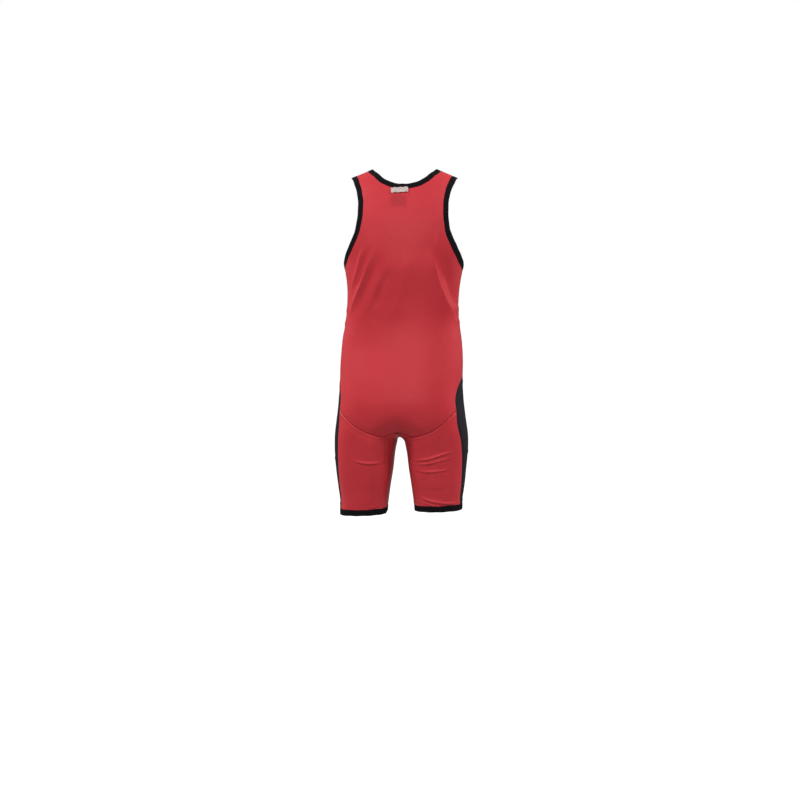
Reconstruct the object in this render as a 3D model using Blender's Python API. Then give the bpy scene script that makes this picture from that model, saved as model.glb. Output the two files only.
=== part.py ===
"""Wrestling singlet of stretch cloth, worn shape, hollow, with bound neck, armholes and leg hems.

Every piece is cut from one smooth surface, the general figure, whose sections are in FIGURE. The
seams are lines drawn on that surface. A panel is a grid of points between its seams, brought onto
the surface, raised by the folds and given a wall. A binding is a flat band that follows an edge.

Axes: +X is the right-hand side seen from behind, -Y is the back, +Z is up. The origin lies between
the shoulder straps, at the height of the neck points. Sizes are in millimetres up to the meshes,
which are in metres.
"""
import math
from collections import namedtuple

import bpy
import numpy as np

OBJECT_NAME = "wrestling_singlet"
METRES = 0.001

# Cloth and trim
CLOTH_WALL = 1.5
BAND_WIDTH = 11.0
HEM_BAND_WIDTH = 13.0
BAND_WALL = 2.4
BAND_CROWN = 0.4
SEAM_GAP = 0.3
LAYER_GAP = 0.3
LABEL_WALL = 1.0

# Shoulders: the height of the strap falls outwards, and the ridge is round from front to back
NECK_POINT_ACROSS = 68.0
SHOULDER_SLOPE = 0.43
SHOULDER_RIDGE_RADIUS = 50.0
SHOULDER_ROUNDING = 25.0
CENTRE_SMOOTHING = 20.0

# Gap between the legs
CROTCH_ARCH_HEIGHT = -584.0
CROTCH_ROUNDING = 58.0

# Lower edges of the legs: the height at the outer leg, and how much higher the inner leg is
Leg = namedtuple("Leg", "hem_height inner_rise")
LEGS = {"right": Leg(-729.5, -2.5), "left": Leg(-743.0, 5.0)}
LEG_MIDDLE = 82.0
LEG_REACH = 120.0
HEM_SAMPLE_HEIGHT = -722.0

# Steps between the points of each seam
STRAP_STEPS = 11
NECK_BACK_STEPS = 10
NECK_FRONT_STEPS = 12
ARMHOLE_STEPS = 17
SIDE_SEAM_STEPS = 14
HIP_EDGE_STEPS = 10
LEG_STEPS = 15
CROTCH_SEAM_STEPS = 3
CROTCH_STEPS = 6
SIDE_PANEL_STEPS = 4
PANEL_ROWS = ARMHOLE_STEPS + SIDE_SEAM_STEPS + HIP_EDGE_STEPS
CENTRE_BACK_STEPS = PANEL_ROWS - NECK_BACK_STEPS
CENTRE_FRONT_STEPS = PANEL_ROWS - NECK_FRONT_STEPS
SEAT_SEAM_STEPS = STRAP_STEPS - CROTCH_SEAM_STEPS

Section = namedtuple("Section", "height half_width front_depth back_depth squareness")
FIGURE = (
    Section(-760, 131.5, 49, 61, 3.0),
    Section(-731, 131.6, 52, 64, 3.0),
    Section(-709, 131.8, 56, 68, 3.0),
    Section(-688, 134.8, 60, 71, 3.0),
    Section(-666, 137.6, 64, 75, 3.0),
    Section(-645, 139.8, 67, 78, 3.0),
    Section(-602, 143.4, 72, 86, 2.9),
    Section(-572, 143.0, 76, 93, 2.8),
    Section(-538, 139.0, 80, 103, 2.6),
    Section(-500, 134.4, 84, 107, 2.5),
    Section(-460, 131.4, 87, 101, 2.5),
    Section(-409, 131.0, 86, 88, 2.45),
    Section(-366, 128.0, 82, 78, 2.4),
    Section(-322, 121.0, 78, 74, 2.4),
    Section(-279, 118.5, 79, 78, 2.4),
    Section(-236, 121.5, 84, 86, 2.35),
    Section(-208, 127.0, 87, 91, 2.3),
    Section(-160, 140.0, 87, 92, 2.3),
    Section(-120, 143.0, 82, 88, 2.3),
    Section(-90, 146.0, 74, 82, 2.3),
    Section(-60, 150.0, 64, 74, 2.3),
    Section(-30, 152.0, 56, 65, 2.3),
    Section(20, 154.0, 48, 55, 2.3),
)

Gap = namedtuple("Gap", "height half_width")
LEG_GAP = (
    Gap(-760, 33.0),
    Gap(-731, 31.0),
    Gap(-688, 25.8),
    Gap(-645, 19.4),
    Gap(-602, 14.5),
    Gap(-584, 11.0),
)

# Pose: how far the figure leans to the right and turns its right side to the back, by height
Pose = namedtuple("Pose", "height sideways turn")
POSES = (
    Pose(-760, -7.0, 0.0),
    Pose(-680, -7.0, 0.0),
    Pose(-620, -7.0, 0.4),
    Pose(-580, -6.6, 1.6),
    Pose(-530, -7.0, 4.0),
    Pose(-480, -7.0, 4.8),
    Pose(-409, -6.2, 4.0),
    Pose(-322, -4.6, 1.5),
    Pose(-245, -2.5, 0.5),
    Pose(-150, -0.6, 0.0),
    Pose(-90, -0.5, -1.2),
    Pose(20, 0.0, -2.0),
)

# Seams of the right side, as points (across, depth, height) near the figure. The left side mirrors
# them. The neck, armhole and hem lines are the free edges of their bindings.
NECK_BACK = ((69, 0, 2), (64.5, -18, -4), (54, -38, -12.5), (39, -54, -22.5), (20, -62, -29.5),
             (8, -64, -31.3), (0, -64, -31.5))
NECK_FRONT = ((69, 0, 2), (68, 22, -6), (62, 42, -24), (52, 57, -52), (36, 69, -84), (18, 76, -103),
              (7, 78, -107.5), (0, 78, -108))
ARMHOLE_BACK = (
    (115, 0, -17), (110, -20, -24), (103, -40, -38), (98, -57, -58), (96, -67, -84),
    (97.5, -70, -110), (100.5, -69, -131), (106, -64, -150), (113.5, -54, -169), (120.5, -40, -186),
    (126.5, -22, -198), (129.5, -8, -204), (130, 0, -205.5),
)
ARMHOLE_FRONT = (
    (115, 0, -17), (110, 18, -24), (102, 34, -38), (95, 48, -58), (91, 58, -84),
    (92, 63, -110), (96, 64, -132), (103.5, 59, -153), (112.5, 50, -173), (120.5, 36, -189),
    (126.5, 20, -199), (129.5, 8, -204), (130, 0, -205.5),
)
SIDE_PANEL_TIP = (131, 0, -442)
SEAT_CORNER = (126, -54, -513)
GROIN_CORNER = (134, 45, -578)
INSEAM_TOP = (28.5, -76, -567)
SEAT_SEAM_MIDDLE = (0, -76, -556)
CROTCH_POINT = (0, 0, -573)
HIP_EDGE_BACK = (SIDE_PANEL_TIP, (128, -21, -452), (124, -41, -468), (123, -52, -488), SEAT_CORNER)
HIP_EDGE_FRONT = (SIDE_PANEL_TIP, (128, 21, -452), (124, 40, -470), (123, 49, -508),
                  (130, 47, -545), GROIN_CORNER)
SEAT_SEAM = (INSEAM_TOP, (48, -84, -563), (81, -85, -550), (108, -74, -529), SEAT_CORNER)
CROTCH_SEAM = (SEAT_SEAM_MIDDLE, (13, -76, -562), INSEAM_TOP)
GROIN_LINE = (CROTCH_POINT, (14, 42, -567), (36, 66, -556), (70, 72, -553), (105, 66, -562),
              GROIN_CORNER)
CROTCH_MIDDLE = (0, -40, -569)
CROTCH_FRONT = ((0, 60, -565), (0, 30, -571), CROTCH_POINT)
SIDE_SEAM = ((118.5, 0, -279), (121, 0, -322), (128, 0, -366), (131, 0, -409))
CENTRE_HEIGHTS = (-160, -236, -322, -409, -460, -500, -535)
OUTER_LEG_BACK = (SEAT_CORNER, (126.5, -57, -538), (131.5, -52, -580), (132, -45, -623),
                  (129.5, -37, -666), (127, -30, -709))
OUTER_LEG_FRONT = (GROIN_CORNER, (133, 43, -623), (130, 36, -666), (127, 30, -709))
INSEAM = (INSEAM_TOP, (28, -64, -600), (28.5, -58, -630), (30.5, -46, -670), (33.5, -34, -709))

# Stretches of the hem round the leg: start angle, end angle, steps. 0 is the outer side and -90 the back
INSEAM_ANGLE = -150.6
SIDE_EDGE_ANGLE = 30.5
HEM_STRETCHES = {
    "back": (INSEAM_ANGLE, -SIDE_EDGE_ANGLE, SEAT_SEAM_STEPS),
    "side": (-SIDE_EDGE_ANGLE, SIDE_EDGE_ANGLE, SIDE_PANEL_STEPS),
    "front": (SIDE_EDGE_ANGLE, INSEAM_ANGLE + 360.0, CROTCH_SEAM_STEPS + CROTCH_STEPS + STRAP_STEPS),
}

# Folds: a soft ridge, or a trough where the height is less than 0, along an arc of three points
# (across, height) seen from behind, on the back or the front
Fold = namedtuple("Fold", "face start middle end half_width height")
BACK, FRONT = -1, 1
FOLDS = (
    Fold(BACK, (-56, -165), (-79, -222), (-113, -312), 10.0, 3.0),
    Fold(BACK, (-39, -215), (-58, -256), (-77, -310), 11.0, 1.6),
    Fold(BACK, (63, -180), (86, -264), (113, -318), 10.0, 3.0),
    Fold(BACK, (94, -200), (103, -238), (112, -276), 10.0, -1.5),
    Fold(BACK, (-105, -617), (-74, -622), (-40, -619), 8.0, 1.5),
    Fold(BACK, (27, -617), (60, -612), (107, -598), 8.0, 1.5),
    Fold(BACK, (31, -642), (59, -643), (100, -636), 8.0, 1.2),
    Fold(FRONT, (-70, -184), (-90, -236), (-110, -300), 10.0, 2.6),
    Fold(FRONT, (66, -190), (84, -250), (108, -308), 10.0, 2.8),
    Fold(FRONT, (-42, -540), (-72, -520), (-106, -500), 12.0, 1.8),
    Fold(FRONT, (40, -542), (68, -522), (102, -498), 12.0, 1.8),
)
FOLD_SAMPLES = 25
FOLD_TAPER = 0.28
FACE_BLEND = 12.0

# Labels, as the middle (across, height) on the back, the width, the height and the turn in degrees
Label = namedtuple("Label", "across height width drop turn columns rows")
NECK_LABEL = Label(-8.3, -46.0, 37.0, 12.5, 3.0, 8, 3)
INNER_LABEL = Label(-10.5, -68.5, 33.0, 25.0, 0.0, 6, 5)
LABEL_CRUMPLE = 0.5

# Finish of each cloth: colour, roughness
Finish = namedtuple("Finish", "red green blue roughness")
FINISHES = {
    "red_cloth": Finish(0.48, 0.035, 0.046, 0.5),
    "black_cloth": Finish(0.012, 0.014, 0.017, 0.5),
    "black_binding": Finish(0.014, 0.016, 0.019, 0.55),
    "label_cloth": Finish(0.8, 0.8, 0.78, 0.7),
}

# Steps down a leg grow from the crotch to the hem: they are those of an even line, to this power
LEG_GRADING = 1.3

GRADIENT_STEP = 0.05
EVENING_ROUNDS = 4
BODY_REACH = 4
AXIS_OFFSET = 0.001
LONGEST_MOVE = 12.0


def smooth_value(where, knots, values):
    """Cubic through the values at the knots, whose slope at a knot follows its two neighbours."""
    slopes = np.gradient(values, knots)
    index = np.clip(np.searchsorted(knots, where) - 1, 0, len(knots) - 2)
    span = knots[index + 1] - knots[index]
    t = np.clip((where - knots[index]) / span, 0.0, 1.0)
    rise = values[index + 1] - values[index]
    start_slope = slopes[index] * span
    end_slope = slopes[index + 1] * span
    return (values[index] + t * start_slope
            + t * t * (3 * rise - 2 * start_slope - end_slope)
            + t * t * t * (start_slope + end_slope - 2 * rise))


def section_value(name, height):
    """One column of FIGURE at the given heights."""
    knots = np.array([section.height for section in FIGURE], float)
    values = np.array([getattr(section, name) for section in FIGURE], float)
    return smooth_value(height, knots, values)


def posed(points):
    """The points with the pose of the figure: turned about the vertical, then moved sideways."""
    across, depth, height = points.T
    knots = np.array([pose.height for pose in POSES], float)
    sideways = smooth_value(height, knots, np.array([pose.sideways for pose in POSES], float))
    turn = np.radians(smooth_value(height, knots, np.array([pose.turn for pose in POSES], float)))
    return np.stack([across * np.cos(turn) + depth * np.sin(turn) + sideways,
                     depth * np.cos(turn) - across * np.sin(turn), height], axis=1)


def round_meet(first, second, radius):
    """What lies inside both shapes, with the edge where they meet rounded to the radius."""
    return (np.minimum(np.maximum(first, second), -radius)
            + np.hypot(np.maximum(radius + first, 0.0), np.maximum(radius + second, 0.0)))


def figure_value(points):
    """Signed distance, about, from the figure: less than 0 inside it."""
    across, depth, height = points.T
    depth = np.where(np.abs(depth) < AXIS_OFFSET, AXIS_OFFSET, depth)
    half_width = section_value("half_width", height)
    front = section_value("front_depth", height)
    back = section_value("back_depth", height)
    squareness = section_value("squareness", height)
    half_depth = np.where(depth > 0, front, back)
    share = (np.abs(across / half_width) ** squareness
             + np.abs(depth / half_depth) ** squareness) ** (1 / squareness)
    trunk = np.hypot(across, depth) * (1 - 1 / np.maximum(share, 1e-6))

    outward = np.hypot(across, CENTRE_SMOOTHING)
    ridge = -SHOULDER_SLOPE * (outward - NECK_POINT_ACROSS)
    ridge = ridge - depth ** 2 / (2 * SHOULDER_RIDGE_RADIUS)
    steepness = np.sqrt(1 + SHOULDER_SLOPE ** 2 + (depth / SHOULDER_RIDGE_RADIUS) ** 2)
    shoulders = (height - ridge) / steepness

    gap_knots = np.array([gap.height for gap in LEG_GAP], float)
    gap_values = np.array([gap.half_width for gap in LEG_GAP], float)
    gap_half_width = smooth_value(np.minimum(height, CROTCH_ARCH_HEIGHT), gap_knots, gap_values)
    above_arch = np.maximum(height - CROTCH_ARCH_HEIGHT, 0.0)
    gap = np.hypot(across, above_arch) - gap_half_width

    body = round_meet(trunk, shoulders, SHOULDER_ROUNDING)
    return round_meet(body, -gap, CROTCH_ROUNDING)


def figure_gradient(points):
    """Slope of figure_value along X, Y and Z, from its values a small step to each side."""
    slopes = np.empty_like(points)
    for axis in range(3):
        step = np.zeros(3)
        step[axis] = GRADIENT_STEP
        slopes[:, axis] = (figure_value(points + step) - figure_value(points - step)) / (2 * GRADIENT_STEP)
    return slopes


def figure_normals(points):
    """Directions straight out of the figure, of length 1."""
    slopes = figure_gradient(points)
    return slopes / np.linalg.norm(slopes, axis=1, keepdims=True)


def onto_figure(points, rounds=8):
    """Moves the points along the slope until they lie on the figure."""
    points = np.array(points, float)
    for _ in range(rounds):
        slopes = figure_gradient(points)
        steepness = np.linalg.norm(slopes, axis=1, keepdims=True)
        move = figure_value(points)[:, None] / np.maximum(steepness, 1e-6)
        move = np.clip(move, -LONGEST_MOVE, LONGEST_MOVE)
        points = points - move * slopes / np.maximum(steepness, 1e-6)
    return points


def seam_line(control, steps, grading=1.0):
    """Smooth line through the control points on the figure, in steps that grow with the grading."""
    control = onto_figure(np.array(control, float))
    knots = np.concatenate([[0.0], np.cumsum(np.linalg.norm(np.diff(control, axis=0), axis=1))])
    fine = np.linspace(0.0, knots[-1], 40 * steps + 1)
    track = np.stack([smooth_value(fine, knots, control[:, axis]) for axis in range(3)], axis=1)
    track = onto_figure(track, rounds=3)
    length = np.concatenate([[0.0], np.cumsum(np.linalg.norm(np.diff(track, axis=0), axis=1))])
    places = length[-1] * np.linspace(0.0, 1.0, steps + 1) ** grading
    line = np.stack([np.interp(places, length, track[:, axis]) for axis in range(3)], axis=1)
    return onto_figure(line, rounds=3)


def mirrored(points):
    """The same points on the left side."""
    return points * np.array([-1.0, 1.0, 1.0])


def along(line, closed):
    """Directions of travel at the points of a line, of length 1."""
    if closed:
        travel = np.roll(line, -1, axis=0) - np.roll(line, 1, axis=0)
    else:
        travel = np.gradient(line, axis=0)
    return travel / np.linalg.norm(travel, axis=1, keepdims=True)


def inner_edge(free_edge, inside_point):
    """Line on the figure at the width of a binding from a closed free edge, on the cloth's side."""
    width = BAND_WIDTH + SEAM_GAP / 2
    travel = along(free_edge, closed=True)
    line = free_edge
    parts = 4
    for _ in range(parts):
        sideways = np.cross(figure_normals(line), travel)
        towards = np.sign(np.sum(sideways[0] * (np.array(inside_point) - free_edge[0])))
        line = onto_figure(line + sideways * towards * width / parts, rounds=4)
    return line


def fold_track(fold):
    """Points along the arc of a fold, as (across, height)."""
    start, middle, end = (np.array(point, float) for point in (fold.start, fold.middle, fold.end))
    bend = 2 * middle - (start + end) / 2
    t = np.linspace(0.0, 1.0, FOLD_SAMPLES)[:, None]
    return (1 - t) ** 2 * start + 2 * t * (1 - t) * bend + t ** 2 * end, t[:, 0]


def fold_height(points):
    """How far the folds raise the cloth at the points: a bell across each fold, tapered at its ends."""
    height = np.zeros(len(points))
    seen = points[:, [0, 2]]
    for fold in FOLDS:
        track, t = fold_track(fold)
        distance = np.linalg.norm(seen[:, None, :] - track[None, :, :], axis=2)
        nearest = np.argmin(distance, axis=1)
        taper = np.clip(np.minimum(t, 1 - t) / FOLD_TAPER, 0.0, 1.0)[nearest]
        taper = taper * taper * (3 - 2 * taper)
        bell = np.exp(-(distance[np.arange(len(points)), nearest] / fold.half_width) ** 2)
        facing = np.clip(points[:, 1] * fold.face / FACE_BLEND, 0.0, 1.0)
        height += fold.height * bell * taper * facing
    return height


def panel_grid(inner, outer, top, bottom, reach=1):
    """Grid between four seams, with even rows on the figure.

    inner and outer run down, top and bottom run from inner to outer. A row starts as the straight
    line from inner to outer, bent as the top and the bottom are, less with the distance from them
    where reach is higher. It is brought onto the figure, and its points are spaced evenly on it.
    """
    rows, columns = len(inner), len(top)
    v = np.linspace(0.0, 1.0, rows)[:, None, None]
    u = np.linspace(0.0, 1.0, columns)[None, :, None]
    bend_top = top[None] - ((1 - u) * top[0] + u * top[-1])
    bend_bottom = bottom[None] - ((1 - u) * bottom[0] + u * bottom[-1])
    grid = (1 - u) * inner[:, None] + u * outer[:, None]
    grid = grid + (1 - v) ** reach * bend_top + v ** reach * bend_bottom
    for _ in range(EVENING_ROUNDS):
        grid = onto_figure(grid.reshape(-1, 3), rounds=4).reshape(rows, columns, 3)
        grid[:, 0], grid[:, -1], grid[0], grid[-1] = inner, outer, top, bottom
        for row in grid[1:-1]:
            length = np.concatenate([[0.0], np.cumsum(np.linalg.norm(np.diff(row, axis=0), axis=1))])
            even = np.linspace(0.0, length[-1], columns)
            row[:] = np.stack([smooth_value(even, length, row[:, axis]) for axis in range(3)], axis=1)
    grid = onto_figure(grid.reshape(-1, 3), rounds=4).reshape(rows, columns, 3)
    grid[:, 0], grid[:, -1], grid[0], grid[-1] = inner, outer, top, bottom
    return grid


def grid_faces(grid):
    """Faces of a grid, each as four points, turned to face out of the figure."""
    corners = np.stack([grid[:-1, :-1], grid[1:, :-1], grid[1:, 1:], grid[:-1, 1:]], axis=2)
    corners = corners.reshape(-1, 4, 3)
    facing = np.cross(corners[:, 2] - corners[:, 0], corners[:, 3] - corners[:, 1])
    out = figure_normals(corners.mean(axis=1))
    if np.sum(facing * out) < 0:
        corners = corners[:, ::-1]
    return corners


def sewn(grids):
    """Joins grids along the edges they share. Returns the points and the faces as lists of points."""
    corners = np.concatenate([grid_faces(grid) for grid in grids])
    flat = corners.reshape(-1, 3)
    keys = np.round(flat, 2) + 0.0
    _, first, index = np.unique(keys, axis=0, return_index=True, return_inverse=True)
    faces = []
    for face in index.reshape(-1, 4):
        distinct = [point for place, point in enumerate(face) if point != face[place - 1]]
        if len(distinct) > 2:
            faces.append([int(point) for point in distinct])
    return flat[first], faces


def rim_edges(faces):
    """Edges that belong to one face only, in that face's direction."""
    directed = set()
    for face in faces:
        for place, point in enumerate(face):
            directed.add((face[place - 1], point))
    return sorted(edge for edge in directed if (edge[1], edge[0]) not in directed)


def pulled_in(points, faces, normals, amount):
    """Moves the rim of a panel inwards by the amount, so that it clears its neighbour."""
    sideways = np.zeros_like(points)
    meeting = {}
    for start, end in rim_edges(faces):
        travel = points[end] - points[start]
        inward = np.cross(normals[start] + normals[end], travel)
        inward = inward / np.linalg.norm(inward)
        for point in (start, end):
            meeting.setdefault(point, []).append(inward)
    sharpest = 0.25
    for point, directions in meeting.items():
        total = np.sum(directions, axis=0)
        openness = max(1 + float(np.dot(directions[0], directions[-1])), sharpest)
        sideways[point] = total / openness
    return points + sideways * amount


def walled(points, faces, normals, inside, outside):
    """Closed wall over an open sheet, from the inside to the outside distance along the normals."""
    count = len(points)
    vertices = np.concatenate([points + normals * outside, points + normals * inside])
    solid = list(faces)
    solid += [[point + count for point in reversed(face)] for face in faces]
    solid += [[end, start, start + count, end + count] for start, end in rim_edges(faces)]
    return vertices, solid


def new_object(name, vertices, faces, finish_name, collection):
    """Mesh object of one piece, in metres, with its finish."""
    mesh = bpy.data.meshes.new(name)
    mesh.from_pydata((posed(vertices) * METRES).tolist(), [], faces)
    mesh.update()
    mesh.shade_smooth()
    mesh.set_sharp_from_angle(angle=math.radians(50))
    mesh.materials.append(cloth_material(finish_name))
    piece = bpy.data.objects.new(name, mesh)
    collection.objects.link(piece)
    return piece


def cloth_material(finish_name):
    """Material of one finish, made once."""
    existing = bpy.data.materials.get(finish_name)
    if existing:
        return existing
    finish = FINISHES[finish_name]
    material = bpy.data.materials.new(finish_name)
    material.use_nodes = True
    shader = material.node_tree.nodes["Principled BSDF"]
    shader.inputs["Base Color"].default_value = (finish.red, finish.green, finish.blue, 1.0)
    shader.inputs["Roughness"].default_value = finish.roughness
    shader.inputs["Metallic"].default_value = 0.0
    return material


def cloth_panel(name, grids, finish_name, collection):
    """Panel of cloth: its grids sewn together, raised by the folds, clear of the seams, with a wall."""
    points, faces = sewn(grids)
    normals = figure_normals(points)
    points = pulled_in(points, faces, normals, SEAM_GAP / 2)
    points = points + normals * fold_height(points)[:, None]
    vertices, solid = walled(points, faces, normals, -CLOTH_WALL / 2, CLOTH_WALL / 2)
    return new_object(name, vertices, solid, finish_name, collection)


def band_profile(band_width):
    """Section of a binding as (along its width, off the cloth), anticlockwise, with a soft crown."""
    half, wall = band_width / 2, BAND_WALL / 2
    crown_place = half * 0.6
    return ((-half, -wall), (half, -wall), (half, wall - BAND_CROWN), (crown_place, wall),
            (-crown_place, wall), (-half, wall - BAND_CROWN))


def binding(name, free_edge, inside_line, band_width, collection):
    """Band whose section follows a closed free edge and the inner line beside it."""
    middle = onto_figure((free_edge + inside_line) / 2)
    lift = fold_height(middle)[:, None]
    normals = figure_normals(middle)
    width = inside_line - free_edge
    width = width / np.linalg.norm(width, axis=1, keepdims=True)
    gap_shift = width * SEAM_GAP / 4
    middle = middle - gap_shift + normals * lift
    rings = np.stack([middle + width * a + normals * b for a, b in band_profile(band_width)], axis=1)
    count, around = rings.shape[:2]
    faces = []
    for ring in range(count):
        after = (ring + 1) % count
        for side in range(around):
            beside = (side + 1) % around
            faces.append([ring * around + side, ring * around + beside,
                          after * around + beside, after * around + side])
    vertices = rings.reshape(-1, 3)
    if solid_volume(vertices, faces) < 0:
        faces = [face[::-1] for face in faces]
    return new_object(name, vertices, faces, "black_binding", collection)


def solid_volume(vertices, faces):
    """Volume inside closed faces: more than 0 where they face out."""
    corners = vertices[np.array(faces)]
    first = np.cross(corners[:, 0], corners[:, 1]) * corners[:, 2]
    second = np.cross(corners[:, 0], corners[:, 2]) * corners[:, 3]
    return float(np.sum(first) + np.sum(second)) / 6


def label(name, size, inside, outside, crumple, collection):
    """Small flat label that follows the back, between two distances from the figure."""
    u, v = np.meshgrid(np.linspace(-0.5, 0.5, size.columns + 1), np.linspace(0.5, -0.5, size.rows + 1))
    turn = math.radians(size.turn)
    across = size.across + u * size.width * math.cos(turn) - v * size.drop * math.sin(turn)
    height = size.height + u * size.width * math.sin(turn) + v * size.drop * math.cos(turn)
    depth = -section_value("back_depth", height)
    grid = onto_figure(np.stack([across, depth, height], axis=2).reshape(-1, 3)).reshape(u.shape + (3,))
    points, faces = sewn([grid])
    normals = figure_normals(points)
    wave = crumple * (1 + np.sin(points[:, 0] * 0.55 + points[:, 2] * 0.2)) / 2
    points = points + normals * wave[:, None]
    vertices, solid = walled(points, faces, normals, inside, outside)
    return new_object(name, vertices, solid, "label_cloth", collection)


def leg_ring(heights, angles):
    """Points on the figure round the right leg, straight out from its middle at the given angles."""
    directions = np.stack([np.cos(angles), np.sin(angles), np.zeros(len(angles))], axis=1)
    middle = np.stack([np.full(len(angles), LEG_MIDDLE), np.zeros(len(angles)), heights], axis=1)
    near, far = np.full(len(angles), 5.0), np.full(len(angles), LEG_REACH)
    halvings = 40
    for _ in range(halvings):
        reach = (near + far) / 2
        inside = figure_value(middle + directions * reach[:, None]) < 0
        near, far = np.where(inside, reach, near), np.where(inside, far, reach)
    return middle + directions * near[:, None]


def hem_heights(leg, angles, above):
    """Height of the hem at each angle, at a distance above the leg's free edge."""
    return leg.hem_height + above + leg.inner_rise * (1 - np.cos(angles)) / 2


def even_angles(start, end, steps):
    """Angles round the leg that part a stretch of the hem into equal steps."""
    fine = np.radians(np.linspace(start, end, 20 * steps + 1))
    ring = leg_ring(np.full(len(fine), HEM_SAMPLE_HEIGHT), fine)
    length = np.concatenate([[0.0], np.cumsum(np.linalg.norm(np.diff(ring, axis=0), axis=1))])
    return np.interp(np.linspace(0.0, length[-1], steps + 1), length, fine)


def centre_line(start, face, end_points, steps):
    """Line down the middle of the back or the front, from start to the last of the end points."""
    column = "back_depth" if face == BACK else "front_depth"
    heights = np.array(CENTRE_HEIGHTS, float)
    control = [start]
    control += [(0.0, face * depth, height)
                for depth, height in zip(section_value(column, heights), heights)]
    control += list(end_points)
    line = seam_line(control, steps)
    line[:, 0] = 0.0
    return line


def joined(*lines):
    """One line from several that follow each other, with their shared ends kept once."""
    return np.concatenate([lines[0]] + [line[1:] for line in lines[1:]])


def neck_lines():
    """Free edge and inner line of the neck binding, from the middle of the back round to the right."""
    back, front = seam_line(NECK_BACK, NECK_BACK_STEPS), seam_line(NECK_FRONT, NECK_FRONT_STEPS)
    back[-1, 0] = front[-1, 0] = 0.0
    free_edge = np.concatenate([back[:0:-1], front[:-1], mirrored(front)[:0:-1], mirrored(back)[:-1]])
    inside_line = inner_edge(free_edge, (0, -90, -120))
    inside_line[[0, NECK_BACK_STEPS + NECK_FRONT_STEPS], 0] = 0.0
    return free_edge, inside_line


def armhole_lines():
    """Free edge and inner line of the right armhole binding, from the shoulder down the back."""
    back, front = seam_line(ARMHOLE_BACK, ARMHOLE_STEPS), seam_line(ARMHOLE_FRONT, ARMHOLE_STEPS)
    free_edge = np.concatenate([back[:-1], front[:0:-1]])
    return free_edge, inner_edge(free_edge, (60, 0, 0))


def right_grids(leg, neck_inner, armhole_inner):
    """Grids of the right half: back, front, leg front, leg back and side panel, for one hem height."""
    neck_back = neck_inner[:NECK_BACK_STEPS + 1][::-1]
    neck_front = neck_inner[NECK_BACK_STEPS:NECK_BACK_STEPS + NECK_FRONT_STEPS + 1]
    armhole_back = armhole_inner[:ARMHOLE_STEPS + 1]
    armhole_front = np.concatenate([armhole_inner[:1], armhole_inner[:ARMHOLE_STEPS - 1:-1]])
    strap = seam_line((neck_back[0], armhole_back[0]), STRAP_STEPS)
    strap[0], strap[-1] = neck_back[0], armhole_back[0]

    side_seam = seam_line((armhole_back[-1],) + SIDE_SEAM + (SIDE_PANEL_TIP,), SIDE_SEAM_STEPS)
    side_seam[0] = armhole_back[-1]
    hip_back = seam_line(HIP_EDGE_BACK, HIP_EDGE_STEPS)
    hip_front = seam_line(HIP_EDGE_FRONT, HIP_EDGE_STEPS)
    hip_back[0] = hip_front[0] = side_seam[-1]

    crotch_seam = seam_line(CROTCH_SEAM, CROTCH_SEAM_STEPS)
    seat_seam = seam_line(SEAT_SEAM, SEAT_SEAM_STEPS)
    crotch_seam[0, 0] = 0.0
    seat_seam[0], seat_seam[-1] = crotch_seam[-1], hip_back[-1]
    centre_back = centre_line(neck_back[-1], BACK, (SEAT_SEAM_MIDDLE,), CENTRE_BACK_STEPS)
    centre_back[0], centre_back[-1] = neck_back[-1], crotch_seam[0]
    centre_front = centre_line(neck_front[-1], FRONT, CROTCH_FRONT, CENTRE_FRONT_STEPS)
    centre_front[0] = neck_front[-1]
    crotch = seam_line((SEAT_SEAM_MIDDLE, CROTCH_MIDDLE, CROTCH_POINT), CROTCH_STEPS)
    crotch[:, 0] = 0.0
    crotch[0], crotch[-1] = crotch_seam[0], centre_front[-1]
    groin = seam_line(GROIN_LINE, STRAP_STEPS)
    groin[0], groin[-1] = centre_front[-1], hip_front[-1]

    hem = {}
    for name, (start, end, steps) in HEM_STRETCHES.items():
        angles = even_angles(start, end, steps)
        hem[name] = leg_ring(hem_heights(leg, angles, HEM_BAND_WIDTH + SEAM_GAP / 2), angles)
    hem["side"][0], hem["side"][-1] = hem["back"][-1], hem["front"][0]
    hem["front"][-1] = hem["back"][0]
    outer_back = seam_line(OUTER_LEG_BACK + (hem["back"][-1],), LEG_STEPS, LEG_GRADING)
    outer_front = seam_line(OUTER_LEG_FRONT + (hem["front"][0],), LEG_STEPS, LEG_GRADING)
    inseam = seam_line(INSEAM + (hem["back"][0],), LEG_STEPS, LEG_GRADING)
    outer_back[0], outer_back[-1] = hip_back[-1], hem["back"][-1]
    outer_front[0], outer_front[-1] = hip_front[-1], hem["front"][0]
    inseam[0], inseam[-1] = crotch_seam[-1], hem["back"][0]

    tip = np.repeat(side_seam[-1:], SIDE_PANEL_STEPS + 1, axis=0)
    return {
        "back": panel_grid(joined(neck_back, centre_back), joined(armhole_back, side_seam, hip_back),
                           strap, joined(crotch_seam, seat_seam), BODY_REACH),
        "front": panel_grid(joined(neck_front, centre_front), joined(armhole_front, side_seam, hip_front),
                            strap, groin, BODY_REACH),
        "leg_front": panel_grid(inseam, outer_front, joined(crotch_seam[::-1], crotch, groin),
                                hem["front"][::-1]),
        "leg_back": panel_grid(inseam, outer_back, seat_seam, hem["back"]),
        "side": panel_grid(joined(hip_back, outer_back), joined(hip_front, outer_front), tip, hem["side"]),
    }


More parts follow.
